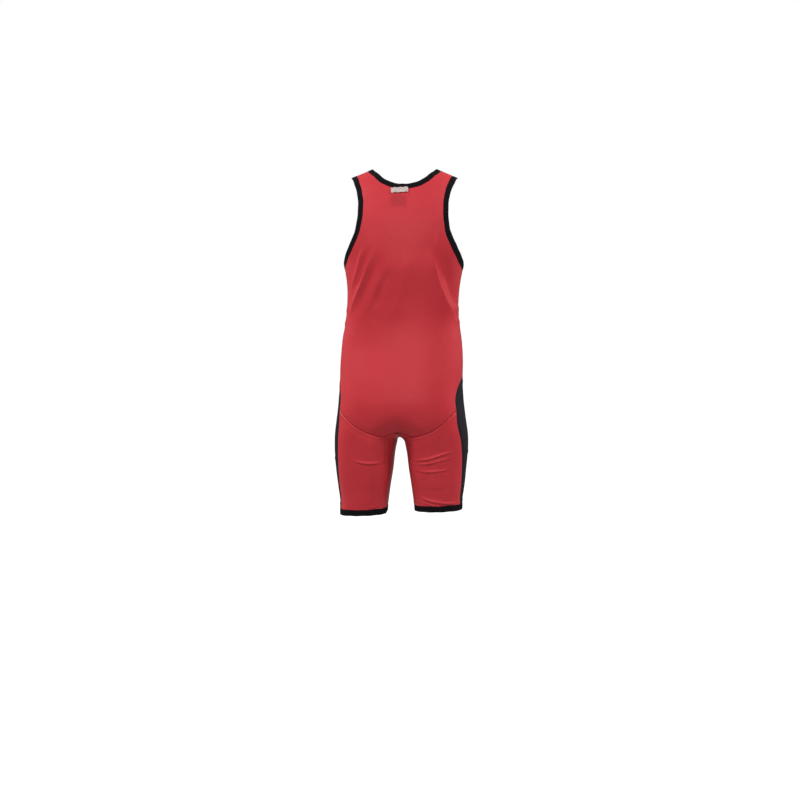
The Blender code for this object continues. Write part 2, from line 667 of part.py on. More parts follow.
def hem_lines(leg):
    """Free edge and inner line of the hem binding of the right leg, with the panels' own steps."""
    stretches = [even_angles(*HEM_STRETCHES[name])[:-1] for name in ("back", "side", "front")]
    angles = np.concatenate(stretches)
    free_edge = leg_ring(hem_heights(leg, angles, 0.0), angles)
    inside_line = leg_ring(hem_heights(leg, angles, HEM_BAND_WIDTH + SEAM_GAP / 2), angles)
    return free_edge, inside_line


def build():
    """Builds every piece of the singlet in its own collection."""
    collection = bpy.data.collections.new(OBJECT_NAME)
    bpy.context.scene.collection.children.link(collection)
    neck_edge, neck_inner = neck_lines()
    armhole_edge, armhole_inner = armhole_lines()
    grids = {"right": right_grids(LEGS["right"], neck_inner, armhole_inner)}
    left = right_grids(LEGS["left"], neck_inner, armhole_inner)
    grids["left"] = {name: mirrored(grid) for name, grid in left.items()}

    cloth_panel("back_panel", [grids[side]["back"] for side in grids], "red_cloth", collection)
    front = [grids[side][name] for side in grids for name in ("front", "leg_front")]
    cloth_panel("front_panel", front, "red_cloth", collection)
    binding("neck_binding", neck_edge, neck_inner, BAND_WIDTH, collection)
    for side, flip in (("right", np.ones(3)), ("left", np.array([-1.0, 1.0, 1.0]))):
        cloth_panel("back_leg_" + side, [grids[side]["leg_back"]], "red_cloth", collection)
        cloth_panel("side_panel_" + side, [grids[side]["side"]], "black_cloth", collection)
        binding("armhole_binding_" + side, armhole_edge * flip, armhole_inner * flip, BAND_WIDTH,
                collection)
        hem_edge, hem_inner = hem_lines(LEGS[side])
        binding("hem_binding_" + side, hem_edge * flip, hem_inner * flip, HEM_BAND_WIDTH, collection)

    over_band = BAND_WALL / 2 + LAYER_GAP
    label("neck_label", NECK_LABEL, over_band, over_band + LABEL_WALL, LABEL_CRUMPLE, collection)
    behind_cloth = -CLOTH_WALL / 2 - LAYER_GAP
    label("inner_label", INNER_LABEL, behind_cloth - LABEL_WALL, behind_cloth, 0.0, collection)


def main():
    """Clears the scene and builds the singlet."""
    for item in list(bpy.data.objects):
        bpy.data.objects.remove(item, do_unlink=True)
    build()


main()
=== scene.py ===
"""Looks of the wrestling singlet: knit panels with their creases, bindings, sewing and labels.

Every piece lies on the general figure that the solids of the frame were cut from. The cloth is a thin
closed shell on that figure, raised and lowered by its creases and seams. Sizes are in millimetres up
to the meshes, which are in metres.

Axes: +X is the right-hand side seen from behind, -Y is the back, +Z is up.
"""

import logging
import math
from dataclasses import dataclass, field
from enum import Enum
from functools import cached_property

import bpy
import numpy as np
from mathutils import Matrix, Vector


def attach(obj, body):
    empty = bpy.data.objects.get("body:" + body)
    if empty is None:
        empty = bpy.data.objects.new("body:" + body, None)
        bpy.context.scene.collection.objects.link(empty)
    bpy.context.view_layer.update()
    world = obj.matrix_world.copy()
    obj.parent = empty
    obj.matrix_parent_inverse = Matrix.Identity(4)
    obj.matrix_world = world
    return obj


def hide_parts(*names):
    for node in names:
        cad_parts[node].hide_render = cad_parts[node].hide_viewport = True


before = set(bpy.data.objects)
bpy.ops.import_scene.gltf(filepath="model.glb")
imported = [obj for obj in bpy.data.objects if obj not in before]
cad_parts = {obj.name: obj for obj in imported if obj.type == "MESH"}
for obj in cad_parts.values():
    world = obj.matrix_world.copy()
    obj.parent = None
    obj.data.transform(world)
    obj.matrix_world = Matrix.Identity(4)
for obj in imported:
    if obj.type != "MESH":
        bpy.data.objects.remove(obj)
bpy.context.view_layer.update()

METRES = 0.001
BODY = "root"
Points = np.ndarray
Place = tuple[float, float]
Place3 = tuple[float, float, float]
Colour = tuple[float, float, float]
log = logging.getLogger("wrestling_singlet")


class Side(Enum):
    """Half of the garment, as the sign of X."""

    RIGHT = 1
    LEFT = -1

    @property
    def label(self) -> str:
        """Name of the side in a piece's name."""
        return self.name.lower()

    def turned(self, points: Points) -> Points:
        """The points of the right half, on this side."""
        return points * np.array([float(self.value), 1.0, 1.0])


class View(Enum):
    """Direction from which a crease is placed: two of the figure's coordinates give its points."""

    BACK = "back"
    FRONT = "front"
    RIGHT = "right"
    LEFT = "left"


class Curve:
    """Columns of numbers that run smoothly over rising knots.

    Between two knots each column is the cubic that has the given values there, and the slopes that
    follow from the neighbours on both sides.
    """

    def __init__(self, knots: Points, values: Points) -> None:
        """Works out the slopes.

        Args:
            knots: Rising places of the given values.
            values: Rows of values, one row for each knot.
        """
        self.knots = np.asarray(knots, float)
        self.values = np.asarray(values, float)
        self.slopes = np.gradient(self.values, self.knots, axis=0)

    @classmethod
    def of(cls, table: tuple, *columns: str) -> "Curve":
        """Curve through named columns of a table whose rows have a height."""
        return cls([row.height for row in table], [[getattr(row, name) for name in columns] for row in table])

    def at(self, where: Points) -> Points:
        """Rows of values at the given places, held at the end values outside the knots."""
        index = np.clip(np.searchsorted(self.knots, where) - 1, 0, len(self.knots) - 2)
        start = self.knots[index]
        span = (self.knots[index + 1] - start)[:, None]
        t = np.clip((where - start)[:, None] / span, 0.0, 1.0)
        low = self.values[index]
        rise = self.values[index + 1] - low
        start_slope = self.slopes[index] * span
        end_slope = self.slopes[index + 1] * span
        return (low + t * start_slope
                + t * t * (3 * rise - 2 * start_slope - end_slope)
                + t * t * t * (start_slope + end_slope - 2 * rise))


def smooth_step(value: Points) -> Points:
    """Rise from 0 to 1 with level ends, for values from 0 to 1."""
    t = np.clip(value, 0.0, 1.0)
    return t * t * (3 - 2 * t)


def lengths_along(line: Points) -> Points:
    """Length from the first point of a line to each of its points."""
    return np.concatenate([[0.0], np.cumsum(np.linalg.norm(np.diff(line, axis=0), axis=1))])


def directions(line: Points, closed: bool) -> Points:
    """Directions of travel at the points of a line, of length 1."""
    if closed:
        travel = np.roll(line, -1, axis=0) - np.roll(line, 1, axis=0)
    else:
        travel = np.gradient(line, axis=0)
    return travel / np.linalg.norm(travel, axis=1, keepdims=True)


@dataclass(frozen=True)
class Section:
    """Level section of the figure."""

    height: float
    half_width: float
    front_depth: float
    back_depth: float
    squareness: float


@dataclass(frozen=True)
class Gap:
    """Half the width of the gap between the legs."""

    height: float
    half_width: float


@dataclass(frozen=True)
class Pose:
    """How far the figure leans to the right and turns its right side to the back."""

    height: float
    sideways: float
    turn: float


@dataclass(frozen=True)
class Leg:
    """Lower edge of a leg: its height at the outer leg, and how much higher the inner leg is."""

    hem_height: float
    inner_rise: float


@dataclass(frozen=True)
class Figure:
    """General figure in the worn pose. It holds the shape only, and nothing of it is shown."""

    sections: tuple[Section, ...] = (
        Section(-760, 131.5, 49, 61, 3.0),
        Section(-731, 131.6, 52, 64, 3.0),
        Section(-709, 131.8, 56, 68, 3.0),
        Section(-688, 134.8, 60, 71, 3.0),
        Section(-666, 137.6, 64, 75, 3.0),
        Section(-645, 139.8, 67, 78, 3.0),
        Section(-602, 143.4, 72, 86, 2.9),
        Section(-572, 143.0, 76, 93, 2.8),
        Section(-538, 139.0, 80, 103, 2.6),
        Section(-500, 134.4, 84, 107, 2.5),
        Section(-460, 131.4, 87, 101, 2.5),
        Section(-409, 131.0, 86, 88, 2.45),
        Section(-366, 128.0, 82, 78, 2.4),
        Section(-322, 121.0, 78, 74, 2.4),
        Section(-279, 118.5, 79, 78, 2.4),
        Section(-236, 121.5, 84, 86, 2.35),
        Section(-208, 127.0, 87, 91, 2.3),
        Section(-160, 140.0, 87, 92, 2.3),
        Section(-120, 143.0, 82, 88, 2.3),
        Section(-90, 146.0, 74, 82, 2.3),
        Section(-60, 150.0, 64, 74, 2.3),
        Section(-30, 152.0, 56, 65, 2.3),
        Section(20, 154.0, 48, 55, 2.3),
    )
    gaps: tuple[Gap, ...] = (
        Gap(-760, 33.0), Gap(-731, 31.0), Gap(-688, 25.8), Gap(-645, 19.4), Gap(-602, 14.5),
        Gap(-584, 11.0),
    )
    poses: tuple[Pose, ...] = (
        Pose(-760, -7.0, 0.0), Pose(-680, -7.0, 0.0), Pose(-620, -7.0, 0.4), Pose(-580, -6.6, 1.6),
        Pose(-530, -7.0, 4.0), Pose(-480, -7.0, 4.8), Pose(-409, -6.2, 4.0), Pose(-322, -4.6, 1.5),
        Pose(-245, -2.5, 0.5), Pose(-150, -0.6, 0.0), Pose(-90, -0.5, -1.2), Pose(20, 0.0, -2.0),
    )
    neck_point_across: float = 68.0
    shoulder_slope: float = 0.43
    shoulder_ridge_radius: float = 50.0
    shoulder_rounding: float = 25.0
    centre_smoothing: float = 20.0
    arch_height: float = -584.0
    crotch_rounding: float = 58.0
    leg_middle: float = 82.0
    leg_reach: float = 120.0
    deepest: float = 130.0
    gradient_step: float = 0.05
    axis_offset: float = 0.001
    longest_move: float = 12.0

    @cached_property
    def section_curve(self) -> Curve:
        """Half width, front depth, back depth and squareness by height."""
        return Curve.of(self.sections, "half_width", "front_depth", "back_depth", "squareness")

    @cached_property
    def gap_curve(self) -> Curve:
        """Half width of the gap between the legs by height."""
        return Curve.of(self.gaps, "half_width")

    @cached_property
    def pose_curve(self) -> Curve:
        """Lean and turn by height."""
        return Curve.of(self.poses, "sideways", "turn")

    @staticmethod
    def round_meet(first: Points, second: Points, radius: float) -> Points:
        """What lies inside both shapes, with the edge where they meet rounded to the radius."""
        return (np.minimum(np.maximum(first, second), -radius)
                + np.hypot(np.maximum(radius + first, 0.0), np.maximum(radius + second, 0.0)))

    def value(self, points: Points) -> Points:
        """Signed distance, about, from the figure.

        The trunk is the distance from the vertical axis times how far a point lies outside the
        superellipse of its section. It meets the slope of the shoulders, and the arched gap between
        the legs is taken from both.

        Args:
            points: Points as rows of across, depth and height.

        Returns:
            Less than 0 inside the figure.
        """
        across, depth, height = points.T
        depth = np.where(np.abs(depth) < self.axis_offset, self.axis_offset, depth)
        half_width, front, back, squareness = self.section_curve.at(height).T
        half_depth = np.where(depth > 0, front, back)
        share = (np.abs(across / half_width) ** squareness
                 + np.abs(depth / half_depth) ** squareness) ** (1 / squareness)
        trunk = np.hypot(across, depth) * (1 - 1 / np.maximum(share, 1e-6))

        outward = np.hypot(across, self.centre_smoothing)
        ridge = -self.shoulder_slope * (outward - self.neck_point_across)
        ridge = ridge - depth ** 2 / (2 * self.shoulder_ridge_radius)
        steepness = np.sqrt(1 + self.shoulder_slope ** 2 + (depth / self.shoulder_ridge_radius) ** 2)
        shoulders = (height - ridge) / steepness

        gap_half_width = self.gap_curve.at(np.minimum(height, self.arch_height))[:, 0]
        gap = np.hypot(across, np.maximum(height - self.arch_height, 0.0)) - gap_half_width
        body = self.round_meet(trunk, shoulders, self.shoulder_rounding)
        return self.round_meet(body, -gap, self.crotch_rounding)

    def gradient(self, points: Points) -> Points:
        """Slope of value along X, Y and Z, from its values a small step to each side."""
        slopes = np.empty_like(points)
        for axis in range(3):
            step = np.zeros(3)
            step[axis] = self.gradient_step
            slopes[:, axis] = (self.value(points + step) - self.value(points - step)) / (2 * self.gradient_step)
        return slopes

    def normals(self, points: Points) -> Points:
        """Directions straight out of the figure, of length 1."""
        slopes = self.gradient(points)
        return slopes / np.linalg.norm(slopes, axis=1, keepdims=True)

    def onto(self, points: Points, rounds: int = 8) -> Points:
        """Moves the points along the slope until they lie on the figure."""
        points = np.array(points, float)
        for _ in range(rounds):
            slopes = self.gradient(points)
            steepness = np.maximum(np.linalg.norm(slopes, axis=1, keepdims=True), 1e-6)
            move = np.clip(self.value(points)[:, None] / steepness, -self.longest_move, self.longest_move)
            points = points - move * slopes / steepness
        return points

    def seen(self, view: View, places: Points) -> Points:
        """Points of the figure at places seen from one side, found by halving the way in.

        Args:
            view: Side from which they are seen.
            places: Rows of (across, height) for the back and front, or (depth, height) for the sides.

        Returns:
            Points on the figure.
        """
        outward = {View.BACK: (0, -1), View.FRONT: (0, 1), View.RIGHT: (1, 0), View.LEFT: (-1, 0)}[view]
        near, far = np.zeros(len(places)), np.full(len(places), self.deepest + 30)
        halvings = 40
        for _ in range(halvings):
            reach = (near + far) / 2
            inside = self.value(self._placed(outward, places, reach)) < 0
            near, far = np.where(inside, reach, near), np.where(inside, far, reach)
        return self._placed(outward, places, near)

    @staticmethod
    def _placed(outward: tuple[int, int], places: Points, reach: Points) -> Points:
        """Points at a reach along X or Y, with the other coordinate and the height as placed."""
        points = np.zeros((len(places), 3))
        points[:, 2] = places[:, 1]
        points[:, 0] = outward[0] * reach if outward[0] else places[:, 0]
        points[:, 1] = outward[1] * reach if outward[1] else places[:, 0]
        return points

    def posed(self, points: Points) -> Points:
        """The points with the pose: turned about the vertical, then moved sideways."""
        across, depth, height = points.T
        sideways, turn = self.pose_curve.at(height).T
        turn = np.radians(turn)
        return np.stack([across * np.cos(turn) + depth * np.sin(turn) + sideways,
                         depth * np.cos(turn) - across * np.sin(turn), height], axis=1)


@dataclass(frozen=True)
class Crease:
    """Soft ridge of the cloth along a line, or a trough where its height is less than 0.

    side_trough is the depth of the trough beside it as a share of its height: more than 0 on the left
    of travel seen from outside, less than 0 on the right. right_half_width is the half width on the
    right of travel, where it isn't half_width.
    """

    view: View
    line: tuple[Place, ...]
    half_width: float
    height: float
    side_trough: float = 0.0
    taper: float = 0.3
    right_half_width: float | None = None


BACK_CREASES = (
    Crease(View.BACK, ((-53.8, -160), (-76.4, -222.1), (-97.1, -275.5), (-113.5, -322)), 5.0, 4.2,
           right_half_width=5.5),
    Crease(View.BACK, ((-42, -168), (-63, -224), (-84, -277), (-99, -314)), 11.0, -3.0,
           right_half_width=7.0),
    Crease(View.BACK, ((-80, -156), (-93.2, -211.7), (-109, -262)), 4.2, 3.0, right_half_width=4.6),
    Crease(View.BACK, ((-70, -164), (-83, -214), (-98, -258)), 6.0, -2.2),
    Crease(View.BACK, ((-35.8, -206), (-54.2, -256.2), (-73, -316)), 6.5, 2.3, right_half_width=8.0),
    Crease(View.BACK, ((-21, -208), (-39, -256), (-56, -304)), 11.0, -2.0, right_half_width=8.0),
    Crease(View.BACK, ((14, -166), (6, -230), (-9, -288), (-30, -332)), 28.0, 2.8,
           right_half_width=14.0),
    Crease(View.BACK, ((62, -160), (70, -203), (80.5, -240), (93, -272), (111, -306), (119, -322)),
           4.6, 3.8, right_half_width=20.0),
    Crease(View.BACK, ((80, -172), (91, -220), (105, -260), (118, -296)), 17.0, -4.2,
           right_half_width=8.0),
    Crease(View.BACK, ((40, -206), (50, -250), (66, -300)), 10.0, 0.6),
    Crease(View.BACK, ((-106, -617.5), (-66.6, -624.3), (-29, -621.5)), 2.8, 2.6, -0.45),
    Crease(View.BACK, ((30, -619), (66.8, -612.2), (98.5, -602.5), (123, -597)), 2.8, 2.7, -0.4),
    Crease(View.BACK, ((32, -628), (71.8, -621.5), (103.4, -614), (124, -609)), 2.5, 2.1, -0.45),
    Crease(View.BACK, ((32, -640), (66.0, -641.5), (116, -635)), 2.5, 2.2, -0.45),
    Crease(View.BACK, ((34, -695), (65.2, -705.1), (91.7, -710.1), (126, -713)), 2.8, 2.8, -0.4),
    Crease(View.BACK, ((37, -704), (65.1, -714.0), (93, -717.6)), 2.3, 1.6, -0.45),
    Crease(View.BACK, ((-72, -723), (-45.2, -717.5), (-33, -710)), 2.8, 1.7, -0.5),
    Crease(View.BACK, ((44, -672), (80, -676), (112, -671)), 4.0, 0.4, -0.5),
    Crease(View.BACK, ((-84, -116), (-72, -142), (-66, -172)), 6.0, 0.7),
    Crease(View.BACK, ((84, -120), (76, -146), (70, -174)), 6.0, 0.7),
    Crease(View.BACK, ((-122, -520), (-84, -549), (-48, -562), (-14, -561)), 12.0, -2.8),
    Crease(View.BACK, ((122, -520), (84, -549), (48, -562), (14, -561)), 12.0, -2.4),
    Crease(View.BACK, ((0, -548), (0, -560), (0, -574)), 5.0, -1.8, 0.0, 0.5),
)
FRONT_CREASES = (
    Crease(View.FRONT, ((-60, -168), (-78, -224), (-99, -270), (-110, -312)), 6.0, 2.6, -0.5),
    Crease(View.FRONT, ((-34, -200), (-50, -250), (-74, -308)), 9.0, 1.4),
    Crease(View.FRONT, ((-48, -184), (-66, -238), (-86, -292)), 8.0, -1.6),
    Crease(View.FRONT, ((62, -172), (76, -222), (94, -268), (112, -304)), 6.0, 2.6, 0.5),
    Crease(View.FRONT, ((88, -176), (101, -222), (114, -262)), 5.5, 1.4, 0.4),
    Crease(View.FRONT, ((28, -212), (42, -262), (64, -312)), 10.0, 1.3),
    Crease(View.FRONT, ((46, -190), (62, -240), (82, -290)), 8.0, -1.4),
    Crease(View.FRONT, ((-52, -322), (-4, -330), (50, -320)), 8.0, 0.8, 0.3),
    Crease(View.FRONT, ((-24, -548), (-58, -530), (-108, -506)), 6.5, 1.9, 0.5),
    Crease(View.FRONT, ((-38, -560), (-72, -552), (-112, -536)), 5.0, 1.2, 0.5),
    Crease(View.FRONT, ((26, -550), (62, -528), (110, -498)), 6.5, 1.9, 0.5),
    Crease(View.FRONT, ((44, -564), (78, -550), (114, -530)), 5.0, 1.3, 0.5),
    Crease(View.FRONT, ((-106, -622), (-72, -629), (-36, -625)), 3.2, 1.4, -0.6),
    Crease(View.FRONT, ((-104, -652), (-76, -657), (-44, -654)), 3.0, 1.0, -0.6),
    Crease(View.FRONT, ((38, -616), (76, -609), (114, -598)), 3.2, 1.5, -0.6),
    Crease(View.FRONT, ((40, -640), (74, -645), (110, -638)), 3.0, 1.1, -0.6),
    Crease(View.FRONT, ((-108, -716), (-76, -722), (-42, -716)), 2.8, 1.2, -0.5),
    Crease(View.FRONT, ((44, -700), (78, -707), (112, -704)), 2.8, 1.2, -0.5),
    Crease(View.FRONT, ((-40, -120), (-50, -150), (-56, -184)), 7.0, 0.9),
    Crease(View.FRONT, ((42, -122), (50, -150), (54, -182)), 7.0, 0.9),
)
SIDE_CREASES = (
    Crease(View.RIGHT, ((-40, -600), (0, -606), (38, -600)), 4.0, 1.0, -0.5),
    Crease(View.RIGHT, ((-34, -470), (-6, -496), (10, -530)), 7.0, 0.9),
    Crease(View.RIGHT, ((-30, -706), (0, -712), (30, -708)), 3.0, 1.0, -0.5),
    Crease(View.RIGHT, ((-42, -318), (-4, -326), (40, -320)), 6.0, 1.2, 0.4),
    Crease(View.RIGHT, ((-44, -292), (0, -298), (42, -294)), 5.5, 1.0, 0.4),
    Crease(View.LEFT, ((-40, -322), (0, -330), (42, -324)), 6.0, 1.2, 0.4),
    Crease(View.LEFT, ((-44, -298), (-4, -302), (38, -297)), 5.5, 1.0, 0.4),
    Crease(View.LEFT, ((-36, -616), (0, -622), (36, -614)), 4.0, 1.0, -0.5),
    Crease(View.LEFT, ((-30, -480), (0, -508), (14, -540)), 7.0, 0.9),
    Crease(View.LEFT, ((-30, -716), (0, -721), (28, -718)), 3.0, 1.0, -0.5),
)


class CreaseTrack:
    """A crease brought onto the figure."""

    def __init__(self, crease: Crease, figure: Figure, samples: int) -> None:
        """Finds the crease's points on the figure.

        Args:
            crease: The crease.
            figure: Figure that it lies on.
            samples: Points along it.
        """
        self.crease = crease
        control = np.array(crease.line, float)
        knots = lengths_along(control)
        places = Curve(knots, control).at(np.linspace(0.0, knots[-1], samples))
        self.points = figure.seen(crease.view, places)
        self.travel = directions(self.points, closed=False)
        self.left = np.cross(figure.normals(self.points), self.travel)
        self.travelled = lengths_along(self.points)
        self.right_half_width = crease.right_half_width or crease.half_width
        self.margin = 5 * max(crease.half_width, self.right_half_width)

    def height(self, points: Points) -> Points:
        """How far the crease raises the points.

        A crest across a ridge or a bell across a trough, less a second bell 1.6 half widths to its
        side, tapered to nothing at both ends. The crest falls evenly from a narrow rounded top.

        Args:
            points: Points on the figure.

        Returns:
            Millimetres along the normal.
        """
        crease = self.crease
        low, high = self.points.min(axis=0) - self.margin, self.points.max(axis=0) + self.margin
        close = np.all((points > low) & (points < high), axis=1)
        height = np.zeros(len(points))
        if not close.any():
            return height
        away = points[close, None, :] - self.points[None, :, :]
        nearest = np.argmin(np.sum(away ** 2, axis=2), axis=1)
        away = away[np.arange(len(nearest)), nearest]
        sideways = np.sum(away * self.left[nearest], axis=1)
        forward = np.sum(away * self.travel[nearest], axis=1)
        share = (self.travelled[nearest] + forward) / self.travelled[-1]
        away_share = sideways / np.where(sideways > 0, crease.half_width, self.right_half_width)
        if crease.height > 0:
            top = 0.35
            bell = np.exp(-1.5 * (np.hypot(away_share, top) - top))
        else:
            bell = np.exp(-away_share ** 2)
        trough_place = 1.6 * crease.half_width * np.sign(crease.side_trough)
        trough = np.exp(-((sideways - trough_place) / crease.half_width) ** 2)
        profile = bell - abs(crease.side_trough) * trough
        taper = smooth_step(np.minimum(share, 1 - share) / crease.taper)
        within = np.linalg.norm(away, axis=1) < self.margin
        height[close] = crease.height * profile * taper * within
        return height


@dataclass
class ClothForm:
    """The figure with the creases of the cloth on it."""

    figure: Figure = Figure()
    creases: tuple[Crease, ...] = BACK_CREASES + FRONT_CREASES + SIDE_CREASES
    samples: int = 48
    unevenness: float = 0.3

    @cached_property
    def tracks(self) -> list[CreaseTrack]:
        """Every crease on the figure."""
        return [CreaseTrack(crease, self.figure, self.samples) for crease in self.creases]

    def height(self, points: Points) -> Points:
        """How far the creases and the cloth's slight unevenness raise the points.

        The unevenness is a product of two slow waves whose phases wander with each other.

        Args:
            points: Points on the figure.

        Returns:
            Millimetres along the normal.
        """
        total = sum(track.height(points) for track in self.tracks)
        across, depth, height = points.T
        waves = (np.sin(across / 17 + 1.4 * np.sin(height / 43) + depth / 29)
                 * np.sin(height / 23 + 1.1 * np.sin(across / 31 + 2.0)))
        return total + self.unevenness * waves


@dataclass(frozen=True)
class Cut:
    """Seams and edges of the singlet as lines on the figure. The left half mirrors the right one."""

    figure: Figure = Figure()
    detail: int = 5
    band_width: float = 11.0
    hem_band_width: float = 13.0
    seam_gap: float = 0.3
    strap_steps: int = 11
    neck_back_steps: int = 10
    neck_front_steps: int = 12
    armhole_steps: int = 17
    side_seam_steps: int = 14
    hip_edge_steps: int = 10
    leg_steps: int = 13
    crotch_seam_steps: int = 3
    crotch_steps: int = 6
    side_panel_steps: int = 4
    hem_sample_height: float = -722.0
    inseam_angle: float = -150.6
    side_edge_angle: float = 30.5
    body_reach: int = 4
    neck_back: tuple[Place3, ...] = (
        (69, 0, 2), (64.5, -18, -4), (54, -38, -12.5), (39, -54, -22.5), (20, -62, -29.5),
        (8, -64, -31.3), (0, -64, -31.5))
    neck_front: tuple[Place3, ...] = (
        (69, 0, 2), (68, 22, -6), (62, 42, -24), (52, 57, -52), (36, 69, -84), (18, 76, -103),
        (7, 78, -107.5), (0, 78, -108))
    armhole_back: tuple[Place3, ...] = (
        (115, 0, -17), (110, -20, -24), (103, -40, -38), (98, -57, -58), (96, -67, -84),
        (97.5, -70, -110), (100.5, -69, -131), (106, -64, -150), (113.5, -54, -169),
        (120.5, -40, -186), (126.5, -22, -199.2), (129.5, -9, -204.7), (130, 0, -205.5))
    armhole_front: tuple[Place3, ...] = (
        (115, 0, -17), (110, 18, -24), (102, 34, -38), (95, 48, -58), (91, 58, -84),
        (92, 63, -110), (96, 64, -132), (103.5, 59, -153), (112.5, 50, -173), (120.5, 36, -189),
        (126.5, 20, -200.0), (129.5, 9, -204.7), (130, 0, -205.5))
    side_panel_tip: Place3 = (131, 0, -442)
    seat_corner: Place3 = (126, -54, -513)
    groin_corner: Place3 = (134, 45, -578)
    inseam_top: Place3 = (28.5, -76, -567)
    seat_seam_middle: Place3 = (0, -76, -556)
    crotch_point: Place3 = (0, 0, -573)
    crotch_middle: Place3 = (0, -40, -569)
    hip_edge_back: tuple[Place3, ...] = ((128, -21, -452), (124, -41, -468), (123, -52, -488))
    hip_edge_front: tuple[Place3, ...] = ((128, 21, -452), (124, 40, -470), (123, 49, -508), (130, 47, -545))
    seat_seam: tuple[Place3, ...] = ((48, -84, -563), (81, -85, -550), (108, -74, -529))
    crotch_seam: tuple[Place3, ...] = ((13, -76, -562),)
    groin_line: tuple[Place3, ...] = ((14, 42, -567), (36, 66, -556), (70, 72, -553), (105, 66, -562))
    crotch_front: tuple[Place3, ...] = ((0, 60, -565), (0, 30, -571))
    side_seam: tuple[Place3, ...] = ((118.5, 0, -279), (121, 0, -322), (128, 0, -366), (131, 0, -409))
    centre_heights: tuple[float, ...] = (-160, -236, -322, -409, -460, -500, -535)
    outer_leg_back: tuple[Place3, ...] = (
        (126.5, -57, -538), (131.5, -52, -580), (132, -45, -623), (129.5, -37, -666), (127, -30, -709))
    outer_leg_front: tuple[Place3, ...] = ((133, 43, -623), (130, 36, -666), (127, 30, -709))
    inseam: tuple[Place3, ...] = ((28, -64, -600), (28.5, -58, -630), (30.5, -46, -670), (33.5, -34, -709))

    def line(self, control: tuple, steps: int) -> Points:
        """Smooth line through the control points on the figure, in equal steps.

        Args:
            control: Points near the figure.
            steps: Steps of the frame's own line, each of which is split further by detail.

        Returns:
            Points on the figure.
        """
        steps = steps * self.detail
        control = self.figure.onto(np.array(control, float))
        knots = lengths_along(control)
        fine = np.linspace(0.0, knots[-1], 8 * steps + 1)
        track = self.figure.onto(Curve(knots, control).at(fine), rounds=3)
        length = lengths_along(track)
        even = np.linspace(0.0, length[-1], steps + 1)
        line = np.stack([np.interp(even, length, track[:, axis]) for axis in range(3)], axis=1)
        return self.figure.onto(line, rounds=3)

    def inner_edge(self, free_edge: Points, inside_point: Place3) -> Points:
        """Line at the width of a binding from a closed free edge, on the cloth's side."""
        travel = directions(free_edge, closed=True)
        line = free_edge
        parts = 4
        for _ in range(parts):
            sideways = np.cross(self.figure.normals(line), travel)
            towards = np.sign(np.sum(sideways[0] * (np.array(inside_point) - free_edge[0])))
            width = self.band_width + self.seam_gap / 2
            line = self.figure.onto(line + sideways * towards * width / parts, rounds=4)
        return line

    def neck_lines(self) -> tuple[Points, Points]:
        """Free edge and inner line of the neck binding, from the middle of the back to the right."""
        back = self.line(self.neck_back, self.neck_back_steps)
        front = self.line(self.neck_front, self.neck_front_steps)
        back[-1, 0] = front[-1, 0] = 0.0
        left = Side.LEFT
        free_edge = np.concatenate([back[:0:-1], front[:-1], left.turned(front)[:0:-1],
                                    left.turned(back)[:-1]])
        inside_line = self.inner_edge(free_edge, (0, -90, -120))
        half_way = (self.neck_back_steps + self.neck_front_steps) * self.detail
        inside_line[[0, half_way], 0] = 0.0
        return free_edge, inside_line

    def armhole_lines(self) -> tuple[Points, Points]:
        """Free edge and inner line of the right armhole binding, from the shoulder down the back."""
        back = self.line(self.armhole_back, self.armhole_steps)
        front = self.line(self.armhole_front, self.armhole_steps)
        free_edge = np.concatenate([back[:-1], front[:0:-1]])
        return free_edge, self.inner_edge(free_edge, (60, 0, 0))

    def leg_ring(self, heights: Points, angles: Points) -> Points:
        """Points on the figure round the right leg, straight out from its middle at the angles."""
        count = len(angles)
        outward = np.stack([np.cos(angles), np.sin(angles), np.zeros(count)], axis=1)
        middle = np.stack([np.full(count, self.figure.leg_middle), np.zeros(count), heights], axis=1)
        near, far = np.full(count, 5.0), np.full(count, self.figure.leg_reach)
        halvings = 40
        for _ in range(halvings):
            reach = (near + far) / 2
            inside = self.figure.value(middle + outward * reach[:, None]) < 0
            near, far = np.where(inside, reach, near), np.where(inside, far, reach)
        return middle + outward * near[:, None]

    def hem_stretch(self, name: str) -> Points:
        """Angles round the leg that part one panel's share of the hem into equal steps."""
        inseam_again = self.inseam_angle + 360.0
        front_steps = self.crotch_seam_steps + self.crotch_steps + self.strap_steps
        start, end, steps = {
            "back": (self.inseam_angle, -self.side_edge_angle, self.strap_steps - self.crotch_seam_steps),
            "side": (-self.side_edge_angle, self.side_edge_angle, self.side_panel_steps),
            "front": (self.side_edge_angle, inseam_again, front_steps),
        }[name]
        fine = np.radians(np.linspace(start, end, 20 * steps + 1))
        length = lengths_along(self.leg_ring(np.full(len(fine), self.hem_sample_height), fine))
        return np.interp(np.linspace(0.0, length[-1], steps * self.detail + 1), length, fine)

    def hem_ring(self, leg: Leg, angles: Points, above: float) -> Points:
        """Points round the right leg at a distance above the leg's free edge."""
        heights = leg.hem_height + above + leg.inner_rise * (1 - np.cos(angles)) / 2
        return self.leg_ring(heights, angles)

    def hem_lines(self, leg: Leg) -> tuple[Points, Points]:
        """Free edge and inner line of the hem binding of the right leg."""
        angles = np.concatenate([self.hem_stretch(name)[:-1] for name in ("back", "side", "front")])
        above = self.hem_band_width + self.seam_gap / 2
        return self.hem_ring(leg, angles, 0.0), self.hem_ring(leg, angles, above)

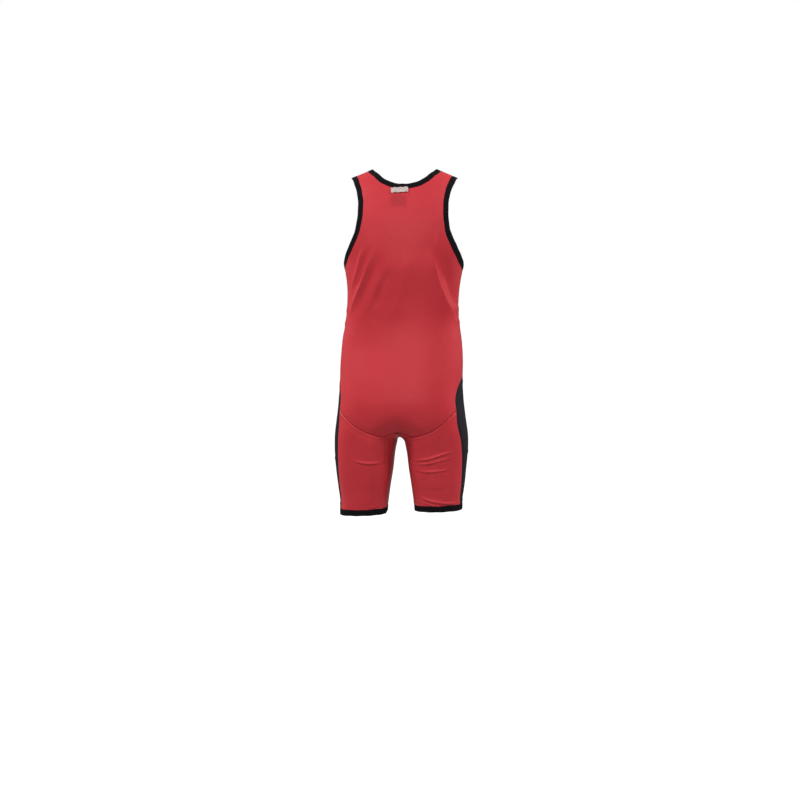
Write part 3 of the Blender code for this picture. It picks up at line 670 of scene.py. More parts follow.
    def centre_line(self, start: Points, face: int, end_points: tuple, steps: int) -> Points:
        """Line down the middle of the back (face -1) or the front (face 1)."""
        column = "back_depth" if face < 0 else "front_depth"
        heights = np.array(self.centre_heights, float)
        depths = Curve.of(self.figure.sections, column).at(heights)[:, 0]
        control = [start] + [(0.0, face * depth, height) for depth, height in zip(depths, heights)]
        line = self.line(tuple(control) + end_points, steps)
        line[:, 0] = 0.0
        return line

    def grid(self, inner: Points, outer: Points, top: Points, bottom: Points, reach: int = 1) -> Points:
        """Grid between four seams, with even rows on the figure.

        A row starts as the straight line from inner to outer, bent as the top and the bottom are,
        less with the distance from them where reach is higher. It is brought onto the figure, and
        its points are spaced evenly on it.

        Args:
            inner: Seam down the inner side.
            outer: Seam down the outer side.
            top: Seam from inner to outer along the top.
            bottom: Seam from inner to outer along the bottom.
            reach: Power with which the bends of the top and the bottom fade.

        Returns:
            Array of rows by columns by coordinates.
        """
        rows, columns = len(inner), len(top)
        v = np.linspace(0.0, 1.0, rows)[:, None, None]
        u = np.linspace(0.0, 1.0, columns)[None, :, None]
        bend_top = top[None] - ((1 - u) * top[0] + u * top[-1])
        bend_bottom = bottom[None] - ((1 - u) * bottom[0] + u * bottom[-1])
        grid = (1 - u) * inner[:, None] + u * outer[:, None]
        grid = grid + (1 - v) ** reach * bend_top + v ** reach * bend_bottom
        evening_rounds = 3
        for evening in range(evening_rounds + 1):
            grid = self.figure.onto(grid.reshape(-1, 3), rounds=4).reshape(rows, columns, 3)
            grid[:, 0], grid[:, -1], grid[0], grid[-1] = inner, outer, top, bottom
            if evening < evening_rounds:
                grid[1:-1] = self.evened(grid[1:-1])
        return grid

    @staticmethod
    def evened(rows: Points) -> Points:
        """The same rows with each row's points spaced evenly between its ends.

        The place of each even step is looked up in the running length of its own row, and the point
        lies that share of the way between the two points beside it.
        """
        count = rows.shape[1]
        spans = np.linalg.norm(np.diff(rows, axis=1), axis=2)
        length = np.concatenate([np.zeros((len(rows), 1)), np.cumsum(spans, axis=1)], axis=1)
        even = length[:, -1:] * np.linspace(0.0, 1.0, count)[None]
        before = np.sum(length[:, None, :] <= even[:, :, None] + 1e-9, axis=2) - 1
        before = np.clip(before, 0, count - 2)
        start = np.take_along_axis(length, before, axis=1)
        span = np.take_along_axis(spans, before, axis=1)
        share = ((even - start) / np.maximum(span, 1e-9))[:, :, None]
        first = np.take_along_axis(rows, before[:, :, None], axis=1)
        second = np.take_along_axis(rows, before[:, :, None] + 1, axis=1)
        return first + (second - first) * share

    def half(self, leg: Leg) -> "HalfCut":
        """Seams and grids of the right half, for one leg's hem."""
        neck_inner = self.neck_lines()[1]
        armhole_inner = self.armhole_lines()[1]
        neck_steps, front_steps = self.neck_back_steps * self.detail, self.neck_front_steps * self.detail
        armhole_steps = self.armhole_steps * self.detail
        neck_back = neck_inner[:neck_steps + 1][::-1]
        neck_front = neck_inner[neck_steps:neck_steps + front_steps + 1]
        armhole_back = armhole_inner[:armhole_steps + 1]
        armhole_front = np.concatenate([armhole_inner[:1], armhole_inner[:armhole_steps - 1:-1]])
        strap = self.line((neck_back[0], armhole_back[0]), self.strap_steps)
        strap[0], strap[-1] = neck_back[0], armhole_back[0]

        tip = (self.side_panel_tip,)
        side_seam = self.line((armhole_back[-1],) + self.side_seam + tip, self.side_seam_steps)
        side_seam[0] = armhole_back[-1]
        hip_back = self.line(tip + self.hip_edge_back + (self.seat_corner,), self.hip_edge_steps)
        hip_front = self.line(tip + self.hip_edge_front + (self.groin_corner,), self.hip_edge_steps)
        hip_back[0] = hip_front[0] = side_seam[-1]

        crotch_seam = self.line((self.seat_seam_middle,) + self.crotch_seam + (self.inseam_top,),
                                self.crotch_seam_steps)
        seat_seam = self.line((self.inseam_top,) + self.seat_seam + (self.seat_corner,),
                              self.strap_steps - self.crotch_seam_steps)
        crotch_seam[0, 0] = 0.0
        seat_seam[0], seat_seam[-1] = crotch_seam[-1], hip_back[-1]
        panel_rows = self.armhole_steps + self.side_seam_steps + self.hip_edge_steps
        centre_back = self.centre_line(neck_back[-1], -1, (self.seat_seam_middle,),
                                       panel_rows - self.neck_back_steps)
        centre_back[0], centre_back[-1] = neck_back[-1], crotch_seam[0]
        centre_front = self.centre_line(neck_front[-1], 1, self.crotch_front + (self.crotch_point,),
                                        panel_rows - self.neck_front_steps)
        centre_front[0] = neck_front[-1]
        crotch = self.line((self.seat_seam_middle, self.crotch_middle, self.crotch_point), self.crotch_steps)
        crotch[:, 0] = 0.0
        crotch[0], crotch[-1] = crotch_seam[0], centre_front[-1]
        groin = self.line((self.crotch_point,) + self.groin_line + (self.groin_corner,), self.strap_steps)
        groin[0], groin[-1] = centre_front[-1], hip_front[-1]

        above = self.hem_band_width + self.seam_gap / 2
        hem = {name: self.hem_ring(leg, self.hem_stretch(name), above) for name in ("back", "side", "front")}
        hem["side"][0], hem["side"][-1] = hem["back"][-1], hem["front"][0]
        hem["front"][-1] = hem["back"][0]
        outer_back = self.line((self.seat_corner,) + self.outer_leg_back + (hem["back"][-1],), self.leg_steps)
        outer_front = self.line((self.groin_corner,) + self.outer_leg_front + (hem["front"][0],),
                                self.leg_steps)
        inseam = self.line((self.inseam_top,) + self.inseam + (hem["back"][0],), self.leg_steps)
        outer_back[0], outer_back[-1] = hip_back[-1], hem["back"][-1]
        outer_front[0], outer_front[-1] = hip_front[-1], hem["front"][0]
        inseam[0], inseam[-1] = crotch_seam[-1], hem["back"][0]
        return HalfCut(strap, side_seam, hip_back, hip_front, crotch_seam, seat_seam, outer_back,
                       outer_front, inseam, neck_back, neck_front, armhole_back, armhole_front,
                       centre_back, centre_front, crotch, groin, hem)


def joined(*lines: Points) -> Points:
    """One line from several that follow each other, with their shared ends kept once."""
    return np.concatenate([lines[0]] + [line[1:] for line in lines[1:]])


@dataclass
class HalfCut:
    """Every line of the right half of the cut."""

    strap: Points
    side_seam: Points
    hip_back: Points
    hip_front: Points
    crotch_seam: Points
    seat_seam: Points
    outer_back: Points
    outer_front: Points
    inseam: Points
    neck_back: Points
    neck_front: Points
    armhole_back: Points
    armhole_front: Points
    centre_back: Points
    centre_front: Points
    crotch: Points
    groin: Points
    hem: dict[str, Points]

    def back(self, cut: Cut) -> Points:
        """Grid of the back, from the middle to the side, with every other row for its upright creases."""
        return cut.grid(joined(self.neck_back, self.centre_back)[::2],
                        joined(self.armhole_back, self.side_seam, self.hip_back)[::2],
                        self.strap, joined(self.crotch_seam, self.seat_seam), cut.body_reach)

    def front(self, cut: Cut) -> Points:
        """Grid of the front above the legs."""
        return cut.grid(joined(self.neck_front, self.centre_front),
                        joined(self.armhole_front, self.side_seam, self.hip_front),
                        self.strap, self.groin, cut.body_reach)

    def leg_front(self, cut: Cut) -> Points:
        """Grid of the front of the leg, which goes on round the inner leg to the inseam."""
        return cut.grid(self.inseam, self.outer_front,
                        joined(self.crotch_seam[::-1], self.crotch, self.groin), self.hem["front"][::-1])

    def leg_back(self, cut: Cut) -> Points:
        """Grid of the back of the leg."""
        return cut.grid(self.inseam, self.outer_back, self.seat_seam, self.hem["back"])

    def side_panel(self, cut: Cut) -> Points:
        """Grid of the side panel, which runs up to a point."""
        tip = np.repeat(self.side_seam[-1:], len(self.hem["side"]), axis=0)
        return cut.grid(joined(self.hip_back, self.outer_back), joined(self.hip_front, self.outer_front),
                        tip, self.hem["side"])


def nearest_on(line: Points, points: Points) -> tuple[Points, Points]:
    """Distance from each point to a line, and the length travelled along the line there."""
    start, step = line[:-1], np.diff(line, axis=0)
    squared = np.sum(step ** 2, axis=1)
    travelled = lengths_along(line)
    distance, place = np.empty(len(points)), np.empty(len(points))
    share_size = 2000
    for share_of_points in np.array_split(np.arange(len(points)), len(points) // share_size + 1):
        away = points[share_of_points, None] - start[None]
        share = np.clip(np.sum(away * step[None], axis=2) / squared, 0.0, 1.0)
        gap = np.linalg.norm(away - share[..., None] * step[None], axis=2)
        nearest = np.argmin(gap, axis=1)
        rows = np.arange(len(nearest))
        distance[share_of_points] = gap[rows, nearest]
        place[share_of_points] = travelled[nearest] + share[rows, nearest] * np.sqrt(squared[nearest])
    return distance, place


class Graph:
    """Node tree of one material."""

    def __init__(self, name: str) -> None:
        """Starts a material with its Principled shader."""
        self.material = bpy.data.materials.new(name)
        self.material.use_nodes = True
        self.tree = self.material.node_tree
        self.shader = self.tree.nodes["Principled BSDF"]

    def add(self, kind: str, inputs: dict, **settings) -> bpy.types.Node:
        """Adds a node.

        Args:
            kind: Type of the node.
            inputs: Socket name or number to a value or to another node's output.
            settings: Attributes of the node.

        Returns:
            The node.
        """
        node = self.tree.nodes.new(kind)
        for name, value in settings.items():
            setattr(node, name, value)
        for name, value in inputs.items():
            if isinstance(value, bpy.types.NodeSocket):
                self.tree.links.new(value, node.inputs[name])
            else:
                node.inputs[name].default_value = value
        return node

    def sum_of(self, operation: str, first: object, second: object = 0.0) -> bpy.types.NodeSocket:
        """Output of a Math node on two values or sockets."""
        return self.add("ShaderNodeMath", {0: first, 1: second}, operation=operation).outputs[0]

    def blend(self, factor: object, first: object, second: object) -> bpy.types.NodeSocket:
        """Colour between two colours."""
        inputs = {0: factor, 6: self.colour(first), 7: self.colour(second)}
        return self.add("ShaderNodeMix", inputs, data_type="RGBA").outputs[2]

    @staticmethod
    def colour(value: object) -> object:
        """A colour with its alpha, or the socket as it is."""
        return value if isinstance(value, bpy.types.NodeSocket) else (*value, 1.0)

    def noise(self, scale: float, detail: float) -> bpy.types.NodeSocket:
        """Noise over the object's own coordinates."""
        where = self.add("ShaderNodeTexCoord", {}).outputs["Object"]
        return self.add("ShaderNodeTexNoise", {"Vector": where, "Scale": scale, "Detail": detail}).outputs[0]

    def wave(self, along: bpy.types.NodeSocket, pitch: float) -> bpy.types.NodeSocket:
        """Cosine wave from 0 to 1 with a pitch in millimetres, along a coordinate in metres."""
        angle = self.sum_of("MULTIPLY", along, 2 * math.pi / (pitch * METRES))
        return self.sum_of("MULTIPLY_ADD", self.sum_of("COSINE", angle), 0.5)

    def link(self, name: str, socket: bpy.types.NodeSocket) -> None:
        """Joins an output to the shader."""
        self.tree.links.new(socket, self.shader.inputs[name])

    def constants(self, values: dict) -> None:
        """Sets the shader's own sockets."""
        for name, value in values.items():
            self.shader.inputs[name].default_value = value


@dataclass(frozen=True)
class KnitFinish:
    """Stretch knit with a satin sheen: fine wales, chevron courses, painted shade in the grooves between the
    loops and a faint cloudiness.
    """

    slot: str
    colour: Colour
    deep_colour: Colour
    sheen_tint: Colour
    roughness: float = 0.46
    sheen: float = 0.35
    sheen_roughness: float = 0.35
    specular: float = 0.3
    specular_tint: Colour = (1.0, 0.55, 0.55)
    wale_pitch: float = 0.9
    course_pitch: float = 0.7
    knit_depth: float = 0.05
    slub_depth: float = 0.12

    def material(self) -> bpy.types.Material:
        """Material of the knit.

        The height is a cosine across the wales times a cosine along the courses, whose phase rises
        to the middle of each wale, so that the loops look like chevrons.

        Returns:
            The material.
        """
        graph = Graph(self.slot)
        uv = graph.add("ShaderNodeUVMap", {}, uv_map="cloth").outputs[0]
        split = graph.add("ShaderNodeSeparateXYZ", {0: uv})
        across, down = split.outputs[0], split.outputs[1]
        wale = graph.wave(across, self.wale_pitch)
        lean = graph.sum_of("MULTIPLY", wale, self.course_pitch * METRES * 0.5)
        course = graph.wave(graph.sum_of("ADD", down, lean), self.course_pitch)
        loops = graph.sum_of("MULTIPLY", graph.sum_of("POWER", wale, 0.6),
                             graph.sum_of("MULTIPLY_ADD", course, 0.5))
        cloud = graph.noise(7.0, 3.0)
        slub = graph.noise(160.0, 4.0)
        fibre = graph.noise(2600.0, 2.0)
        # The loops' height also darkens the colour where the knit sinks: painted shade in the grooves between
        # the loops. Cloud, slub and fibre add tone that differs at random.
        groove_shade_and_tone = graph.sum_of("ADD", graph.sum_of("MULTIPLY", loops, 0.28),
                            graph.sum_of("ADD", graph.sum_of("MULTIPLY", cloud, 0.75),
                                         graph.sum_of("MULTIPLY", slub, 0.22)))
        groove_shade_and_tone = graph.sum_of("ADD", groove_shade_and_tone, graph.sum_of("MULTIPLY", fibre, 0.12))
        cloth = graph.blend(graph.sum_of("SUBTRACT", groove_shade_and_tone, 0.15), self.deep_colour, self.colour)
        behind = graph.add("ShaderNodeAttribute", {}, attribute_name="show_through").outputs["Fac"]
        patchy = graph.sum_of("MULTIPLY", behind, graph.sum_of("MULTIPLY_ADD", slub, 0.7))
        graph.link("Base Color", graph.blend(patchy, cloth, tuple(0.6 * part for part in self.colour)))
        rough = graph.sum_of("ADD", self.roughness - 0.08, graph.sum_of("MULTIPLY", cloud, 0.16))
        graph.link("Roughness", rough)
        knit = graph.add("ShaderNodeBump", {"Height": loops, "Strength": 0.5,
                                            "Distance": self.knit_depth * METRES})
        bump = graph.add("ShaderNodeBump", {"Height": slub, "Strength": 0.5, "Normal": knit.outputs[0],
                                            "Distance": self.slub_depth * METRES})
        graph.link("Normal", bump.outputs[0])
        graph.constants({"Sheen Weight": self.sheen, "Sheen Roughness": self.sheen_roughness,
                         "Sheen Tint": (*self.sheen_tint, 1.0), "Specular IOR Level": self.specular,
                         "Specular Tint": (*self.specular_tint, 1.0)})
        return graph.material


@dataclass(frozen=True)
class ThreadFinish:
    """Sewing thread: two plies twisted round each other."""

    name: str
    slot: str
    colour: Colour
    roughness: float = 0.6
    ply_pitch: float = 0.8
    ply_depth: float = 0.08

    def material(self) -> bpy.types.Material:
        """Material of the thread: slanting waves for the plies, which also darken the colour between the plies
        as painted shade, and a faint change of tone.
        """
        graph = Graph(self.name)
        where = graph.add("ShaderNodeTexCoord", {}).outputs["Object"]
        parts = graph.add("ShaderNodeSeparateXYZ", {0: where}).outputs
        slant = graph.sum_of("ADD", graph.sum_of("ADD", parts[0], parts[1]), parts[2])
        plies = graph.wave(slant, self.ply_pitch)
        # The plies darken the colour where they sink: painted shade between the plies, plus a faint random
        # change of tone.
        groove_shade_and_tone = graph.sum_of("ADD", graph.sum_of("MULTIPLY", plies, 0.5),
                            graph.sum_of("MULTIPLY", graph.noise(90.0, 3.0), 0.5))
        graph.link("Base Color", graph.blend(groove_shade_and_tone, tuple(0.6 * part for part in self.colour), self.colour))
        bump = graph.add("ShaderNodeBump", {"Height": plies, "Strength": 0.6,
                                            "Distance": self.ply_depth * METRES})
        graph.link("Normal", bump.outputs[0])
        graph.constants({"Roughness": self.roughness, "Specular IOR Level": 0.1})
        return graph.material


@dataclass(frozen=True)
class LabelFinish:
    """White woven label tape, blank, tinted pink by painted light reflected from the red cloth."""

    name: str = "label_cloth"
    # The pink tint of colour and shade is painted light reflected from the red cloth; the tape itself is white.
    colour: Colour = (0.58, 0.475, 0.455)
    shade: Colour = (0.29, 0.25, 0.24)
    thread_pitch: float = 0.5
    thread_depth: float = 0.06
    roughness: float = 0.55

    def material(self) -> bpy.types.Material:
        """Material of the label: threads across and down that pass over each other by turns, darker where they
        sink as painted shade, and darker blotches at random.
        """
        graph = Graph(self.name)
        uv = graph.add("ShaderNodeUVMap", {}, uv_map="cloth").outputs[0]
        split = graph.add("ShaderNodeSeparateXYZ", {0: uv})
        weft = graph.wave(split.outputs[0], self.thread_pitch)
        warp = graph.wave(split.outputs[1], self.thread_pitch)
        weave = graph.sum_of("MULTIPLY", weft, warp)
        blotches = graph.noise(120.0, 5.0)
        # The weave darkens the colour where its threads sink: painted shade. The blotches are darker tone at
        # random.
        groove_shade_and_tone = graph.sum_of("ADD", graph.sum_of("MULTIPLY", weave, 0.4), graph.sum_of("MULTIPLY", blotches, 0.9))
        graph.link("Base Color", graph.blend(groove_shade_and_tone, self.shade, self.colour))
        bump = graph.add("ShaderNodeBump", {"Height": weave, "Strength": 0.6,
                                            "Distance": self.thread_depth * METRES})
        graph.link("Normal", bump.outputs[0])
        graph.constants({"Roughness": self.roughness, "Sheen Weight": 0.15})
        return graph.material


RED_KNIT = KnitFinish("red_cloth", (0.60, 0.044, 0.055), (0.37, 0.019, 0.027), (1.0, 0.5, 0.52), sheen=0.1,
                      specular=0.25, roughness=0.44)
BLACK_KNIT = KnitFinish("black_cloth", (0.021, 0.018, 0.023), (0.009, 0.008, 0.011), (0.8, 0.8, 0.9),
                        sheen=0.0, specular=0.08, roughness=0.7, specular_tint=(0.9, 0.9, 1.0))
BLACK_TAPE = KnitFinish("black_binding", (0.009, 0.008, 0.010), (0.004, 0.003, 0.004), (0.8, 0.8, 0.9),
                        sheen=0.0, roughness=0.75, specular=0.04, specular_tint=(0.9, 0.9, 1.0),
                        wale_pitch=1.1, course_pitch=0.9, knit_depth=0.12)
RED_THREAD = ThreadFinish("red_thread", "red_cloth", (0.40, 0.018, 0.024))
BLACK_THREAD = ThreadFinish("black_thread", "black_binding", (0.019, 0.018, 0.020))
LABEL_TAPE = LabelFinish()


@dataclass
class Shell:
    """Faces of one piece before it becomes an object."""

    vertices: Points
    quads: Points
    triangles: Points
    quad_uv: Points
    triangle_uv: Points

    def volume(self) -> float:
        """Volume inside the faces: more than 0 where they face out."""
        total = 0.0
        for faces in (self.quads[:, [0, 1, 2]], self.quads[:, [0, 2, 3]], self.triangles):
            corners = self.vertices[faces]
            total += np.sum(np.cross(corners[:, 0], corners[:, 1]) * corners[:, 2]) / 6
        return float(total)

    def turned_out(self) -> "Shell":
        """The same shell with its faces turned out."""
        if self.volume() > 0:
            return self
        return Shell(self.vertices, self.quads[:, ::-1], self.triangles[:, ::-1],
                     self.quad_uv[:, ::-1], self.triangle_uv[:, ::-1])

    def piece(self, name: str, material: bpy.types.Material, slot: str, figure: Figure,
              sharp_angle: float = 50.0) -> bpy.types.Object:
        """Makes the shell an object of the posed garment, riding on the garment's body.

        Args:
            name: Name of the piece.
            material: Its finish.
            slot: Material slot that the finish belongs to. Not used.
            figure: Figure that gives the pose.
            sharp_angle: Edges sharper than this, in degrees, stay sharp.

        Returns:
            The object.
        """
        mesh = bpy.data.meshes.new(name)
        faces = self.quads.tolist() + self.triangles.tolist()
        mesh.from_pydata((figure.posed(self.vertices) * METRES).tolist(), [], faces)
        uv = np.concatenate([self.quad_uv.reshape(-1, 2), self.triangle_uv.reshape(-1, 2)]) * METRES
        mesh.uv_layers.new(name="cloth").data.foreach_set("uv", uv.astype(np.float32).ravel())
        mesh.materials.append(material)
        mesh.update()
        mesh.shade_smooth()
        mesh.set_sharp_from_angle(angle=math.radians(sharp_angle))
        piece = bpy.data.objects.new(name, mesh)
        bpy.context.scene.collection.objects.link(piece)
        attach(piece, BODY)
        return piece


def no_faces(corners: int) -> tuple[Points, Points]:
    """An empty array of faces with this many corners, and its UVs."""
    return np.zeros((0, corners), int), np.zeros((0, corners, 2))


@dataclass(frozen=True)
class SeamRelief:
    """Groove at a seam, and the ridge of the seam allowance pressed to one side of it."""

    groove_depth: float = 0.55
    groove_half_width: float = 1.1
    allowance_height: float = 0.5
    allowance_start: float = 1.0
    allowance_end: float = 5.6
    allowance_slope: float = 1.3
    pucker_height: float = 0.10
    pucker_pitch: float = 7.3
    pucker_reach: float = 5.0

    def height(self, distance: Points, travelled: Points, allowance: bool) -> Points:
        """How far the cloth stands up beside the seam.

        Args:
            distance: Distance of each point from the seam.
            travelled: Length along the seam at each point.
            allowance: True on the side to which the allowance is pressed.

        Returns:
            Millimetres along the normal.
        """
        groove = -self.groove_depth * np.exp(-(distance / self.groove_half_width) ** 2)
        phase = 2 * math.pi * travelled / self.pucker_pitch + 1.7 * np.sin(travelled / 23)
        pucker = self.pucker_height * np.sin(phase) * np.exp(-(distance / self.pucker_reach) ** 2)
        if not allowance:
            return groove + pucker
        rise = smooth_step((distance - self.allowance_start + self.allowance_slope) / self.allowance_slope)
        fall = smooth_step((self.allowance_end - distance) / self.allowance_slope)
        return groove + pucker + self.allowance_height * rise * fall


RELIEFS = {
    ("seat_seam", False): SeamRelief(groove_depth=1.5, groove_half_width=3.0),
    ("seat_seam", True): SeamRelief(groove_depth=1.5, groove_half_width=2.6, allowance_height=0.3),
    ("crotch_seam", False): SeamRelief(groove_depth=1.5, groove_half_width=3.0),
    ("crotch_seam", True): SeamRelief(groove_depth=1.5, groove_half_width=1.3, allowance_height=0.3),
    ("inseam", False): SeamRelief(groove_depth=0.95, groove_half_width=1.5),
    ("inseam", True): SeamRelief(groove_depth=0.95, groove_half_width=1.3, allowance_height=0.4),
}


@dataclass(frozen=True)
class SewnLine:
    """Seam that a panel lies on, with its allowance under this panel or not."""

    line: Points
    allowance: bool = False
    relief: SeamRelief = SeamRelief()


@dataclass
class Panel:
    """Panel of knit: a closed thin shell, sewn to its neighbours along its seams."""

    name: str
    node: str
    finish: KnitFinish
    grids: list[Points]
    seams: list[SewnLine]
    form: ClothForm
    wall: float = 1.0
    pull_in: float = 0.05
    show_through: tuple[float, float, float, float] | None = None
    cut_share: Place = (0.88, 0.96)

    @staticmethod
    def flat_places(grid: Points) -> Points:
        """Place of each grid point on the flat cloth: lengths along its row and down the grid."""
        along_rows = np.linalg.norm(np.diff(grid, axis=1), axis=2)
        across = np.concatenate([np.zeros((len(grid), 1)), np.cumsum(along_rows, axis=1)], axis=1)
        across = across * np.sign(np.sum(grid[..., 0]))
        down_columns = np.linalg.norm(np.diff(grid, axis=0), axis=2).mean(axis=1)
        down = -np.concatenate([[0.0], np.cumsum(down_columns)])
        return np.stack([across, np.broadcast_to(down[:, None], across.shape)], axis=2)

    def sewn(self) -> tuple[Points, Shell]:
        """Joins the grids along the edges they share.

        Points that round to the same hundredth of a millimetre are one. A face of the point of a
        panel has two equal corners, and becomes a triangle.

        Returns:
            The joined points, and a shell of the outer faces only.
        """
        points = np.concatenate([grid.reshape(-1, 3) for grid in self.grids])
        places = np.concatenate([self.flat_places(grid).reshape(-1, 2) for grid in self.grids])
        _, first, index = np.unique(np.round(points, 2) + 0.0, axis=0, return_index=True,
                                    return_inverse=True)
        index = index.reshape(-1)
        faces, start = [], 0
        for grid in self.grids:
            rows, columns = grid.shape[:2]
            order = start + np.arange(rows * columns).reshape(rows, columns)
            quads = np.stack([order[:-1, :-1], order[1:, :-1], order[1:, 1:], order[:-1, 1:]], axis=2)
            quads = quads.reshape(-1, 4)
            corners = points[quads]
            facing = np.cross(corners[:, 2] - corners[:, 0], corners[:, 3] - corners[:, 1])
            if np.sum(facing * self.form.figure.normals(corners.mean(axis=1))) < 0:
                quads = quads[:, ::-1]
            faces.append(quads)
            start += rows * columns
        faces = np.concatenate(faces)
        joined_faces = index[faces]
        pointed = joined_faces[:, 0] == joined_faces[:, 3]
        shell = Shell(points[first], joined_faces[~pointed], joined_faces[pointed][:, :3],
                      places[faces[~pointed]], places[faces[pointed][:, :3]])
        return points[first], shell

    @staticmethod
    def rim(shell: Shell) -> Points:
        """Edges that belong to one face only, as pairs of points in the face's direction."""
        edges = [np.stack([faces[:, corner], np.roll(faces, -1, axis=1)[:, corner]], axis=1)
                 for faces in (shell.quads, shell.triangles) for corner in range(faces.shape[1])]
        edges = np.concatenate(edges)
        count = len(shell.vertices)
        keys, back = edges[:, 0] * count + edges[:, 1], edges[:, 1] * count + edges[:, 0]
        return edges[~np.isin(keys, back)]

    def seam_height(self, points: Points) -> Points:
        """How far the nearest seam raises or lowers the points."""
        nearest = np.full(len(points), np.inf)
        height = np.zeros(len(points))
        for seam in self.seams:
            distance, travelled = nearest_on(seam.line, points)
            closer = distance < nearest
            raised = seam.relief.height(distance, travelled, seam.allowance)
            height = np.where(closer, raised, height)
            nearest = np.minimum(distance, nearest)
        return height

    def build(self) -> bpy.types.Object:
        """Makes the panel: outer face, inner face and a rim between them.

        Returns:
            The object, which stands for the panel's CAD node.
        """
        points, outer = self.sewn()
        normals = self.form.figure.normals(points)
        rim = self.rim(outer)
        inward = np.cross(normals[rim[:, 0]] + normals[rim[:, 1]], points[rim[:, 1]] - points[rim[:, 0]])
        inward = inward / np.maximum(np.linalg.norm(inward, axis=1, keepdims=True), 1e-9)
        pull = np.zeros_like(points)
        np.add.at(pull, rim[:, 0], inward / 2)
        np.add.at(pull, rim[:, 1], inward / 2)
        lift = self.form.height(points)
        seam = self.seam_height(points)
        points = points + pull * self.pull_in
        top = points + normals * (lift + seam + self.wall / 2)[:, None]
        bottom = points + normals * (lift + np.maximum(seam, 0.0) - self.wall / 2)[:, None]
        count = len(points)
        rim_faces = np.stack([rim[:, 1], rim[:, 0], rim[:, 0] + count, rim[:, 1] + count], axis=1)
        shell = Shell(np.concatenate([top, bottom]),
                      np.concatenate([outer.quads, outer.quads[:, ::-1] + count, rim_faces]),
                      np.concatenate([outer.triangles, outer.triangles[:, ::-1] + count]),
                      np.concatenate([outer.quad_uv, outer.quad_uv[:, ::-1], np.zeros((len(rim), 4, 2))]),
                      np.concatenate([outer.triangle_uv, outer.triangle_uv[:, ::-1]]))
        piece = shell.piece(self.name, finished(self.finish), self.finish.slot, self.form.figure)
        if self.show_through is not None:
            self.mark_show_through(piece, np.concatenate([points, points]))
        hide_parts(self.node)
        self.declare(outer)
        return piece

    def mark_show_through(self, piece: bpy.types.Object, points: Points) -> None:
        """Marks the points in front of the inner label, with a soft edge."""
        across, height, half_width, half_height = self.show_through
        edge = 8.0
        inside = (smooth_step((half_width - np.abs(points[:, 0] - across)) / edge + 0.5)
                  * smooth_step((half_height - np.abs(points[:, 2] - height)) / edge + 0.5)
                  * (points[:, 1] < 0))
        attribute = piece.data.attributes.new("show_through", "FLOAT", "POINT")
        attribute.data.foreach_set("value", inside.astype(np.float32))

    def declare(self, outer: Shell) -> None:
        """States the flat cut of the panel: the worn sizes less the stretch that they are worn with."""
        places = np.concatenate([outer.quad_uv.reshape(-1, 2), outer.triangle_uv.reshape(-1, 2)])
        low, high = places.min(axis=0), places.max(axis=0)
        width, length = (high - low) * np.array(self.cut_share) * METRES
        corners = outer.vertices[outer.quads]
        area = 0.5 * np.linalg.norm(np.cross(corners[:, 2] - corners[:, 0], corners[:, 3] - corners[:, 1]),
                                    axis=1).sum() * METRES ** 2
        area = min(area * self.cut_share[0] * self.cut_share[1], width * length)
        log.info("%s: flat %.0f x %.0f mm, %.4f square metres", self.name, width * 1000, length * 1000, area)


FINISHED: dict[str, bpy.types.Material] = {}


def finished(finish: KnitFinish | ThreadFinish | LabelFinish) -> bpy.types.Material:
    """Material of a finish, made once."""
    name = getattr(finish, "name", None) or finish.slot
    if name not in FINISHED:
        FINISHED[name] = finish.material()
    return FINISHED[name]


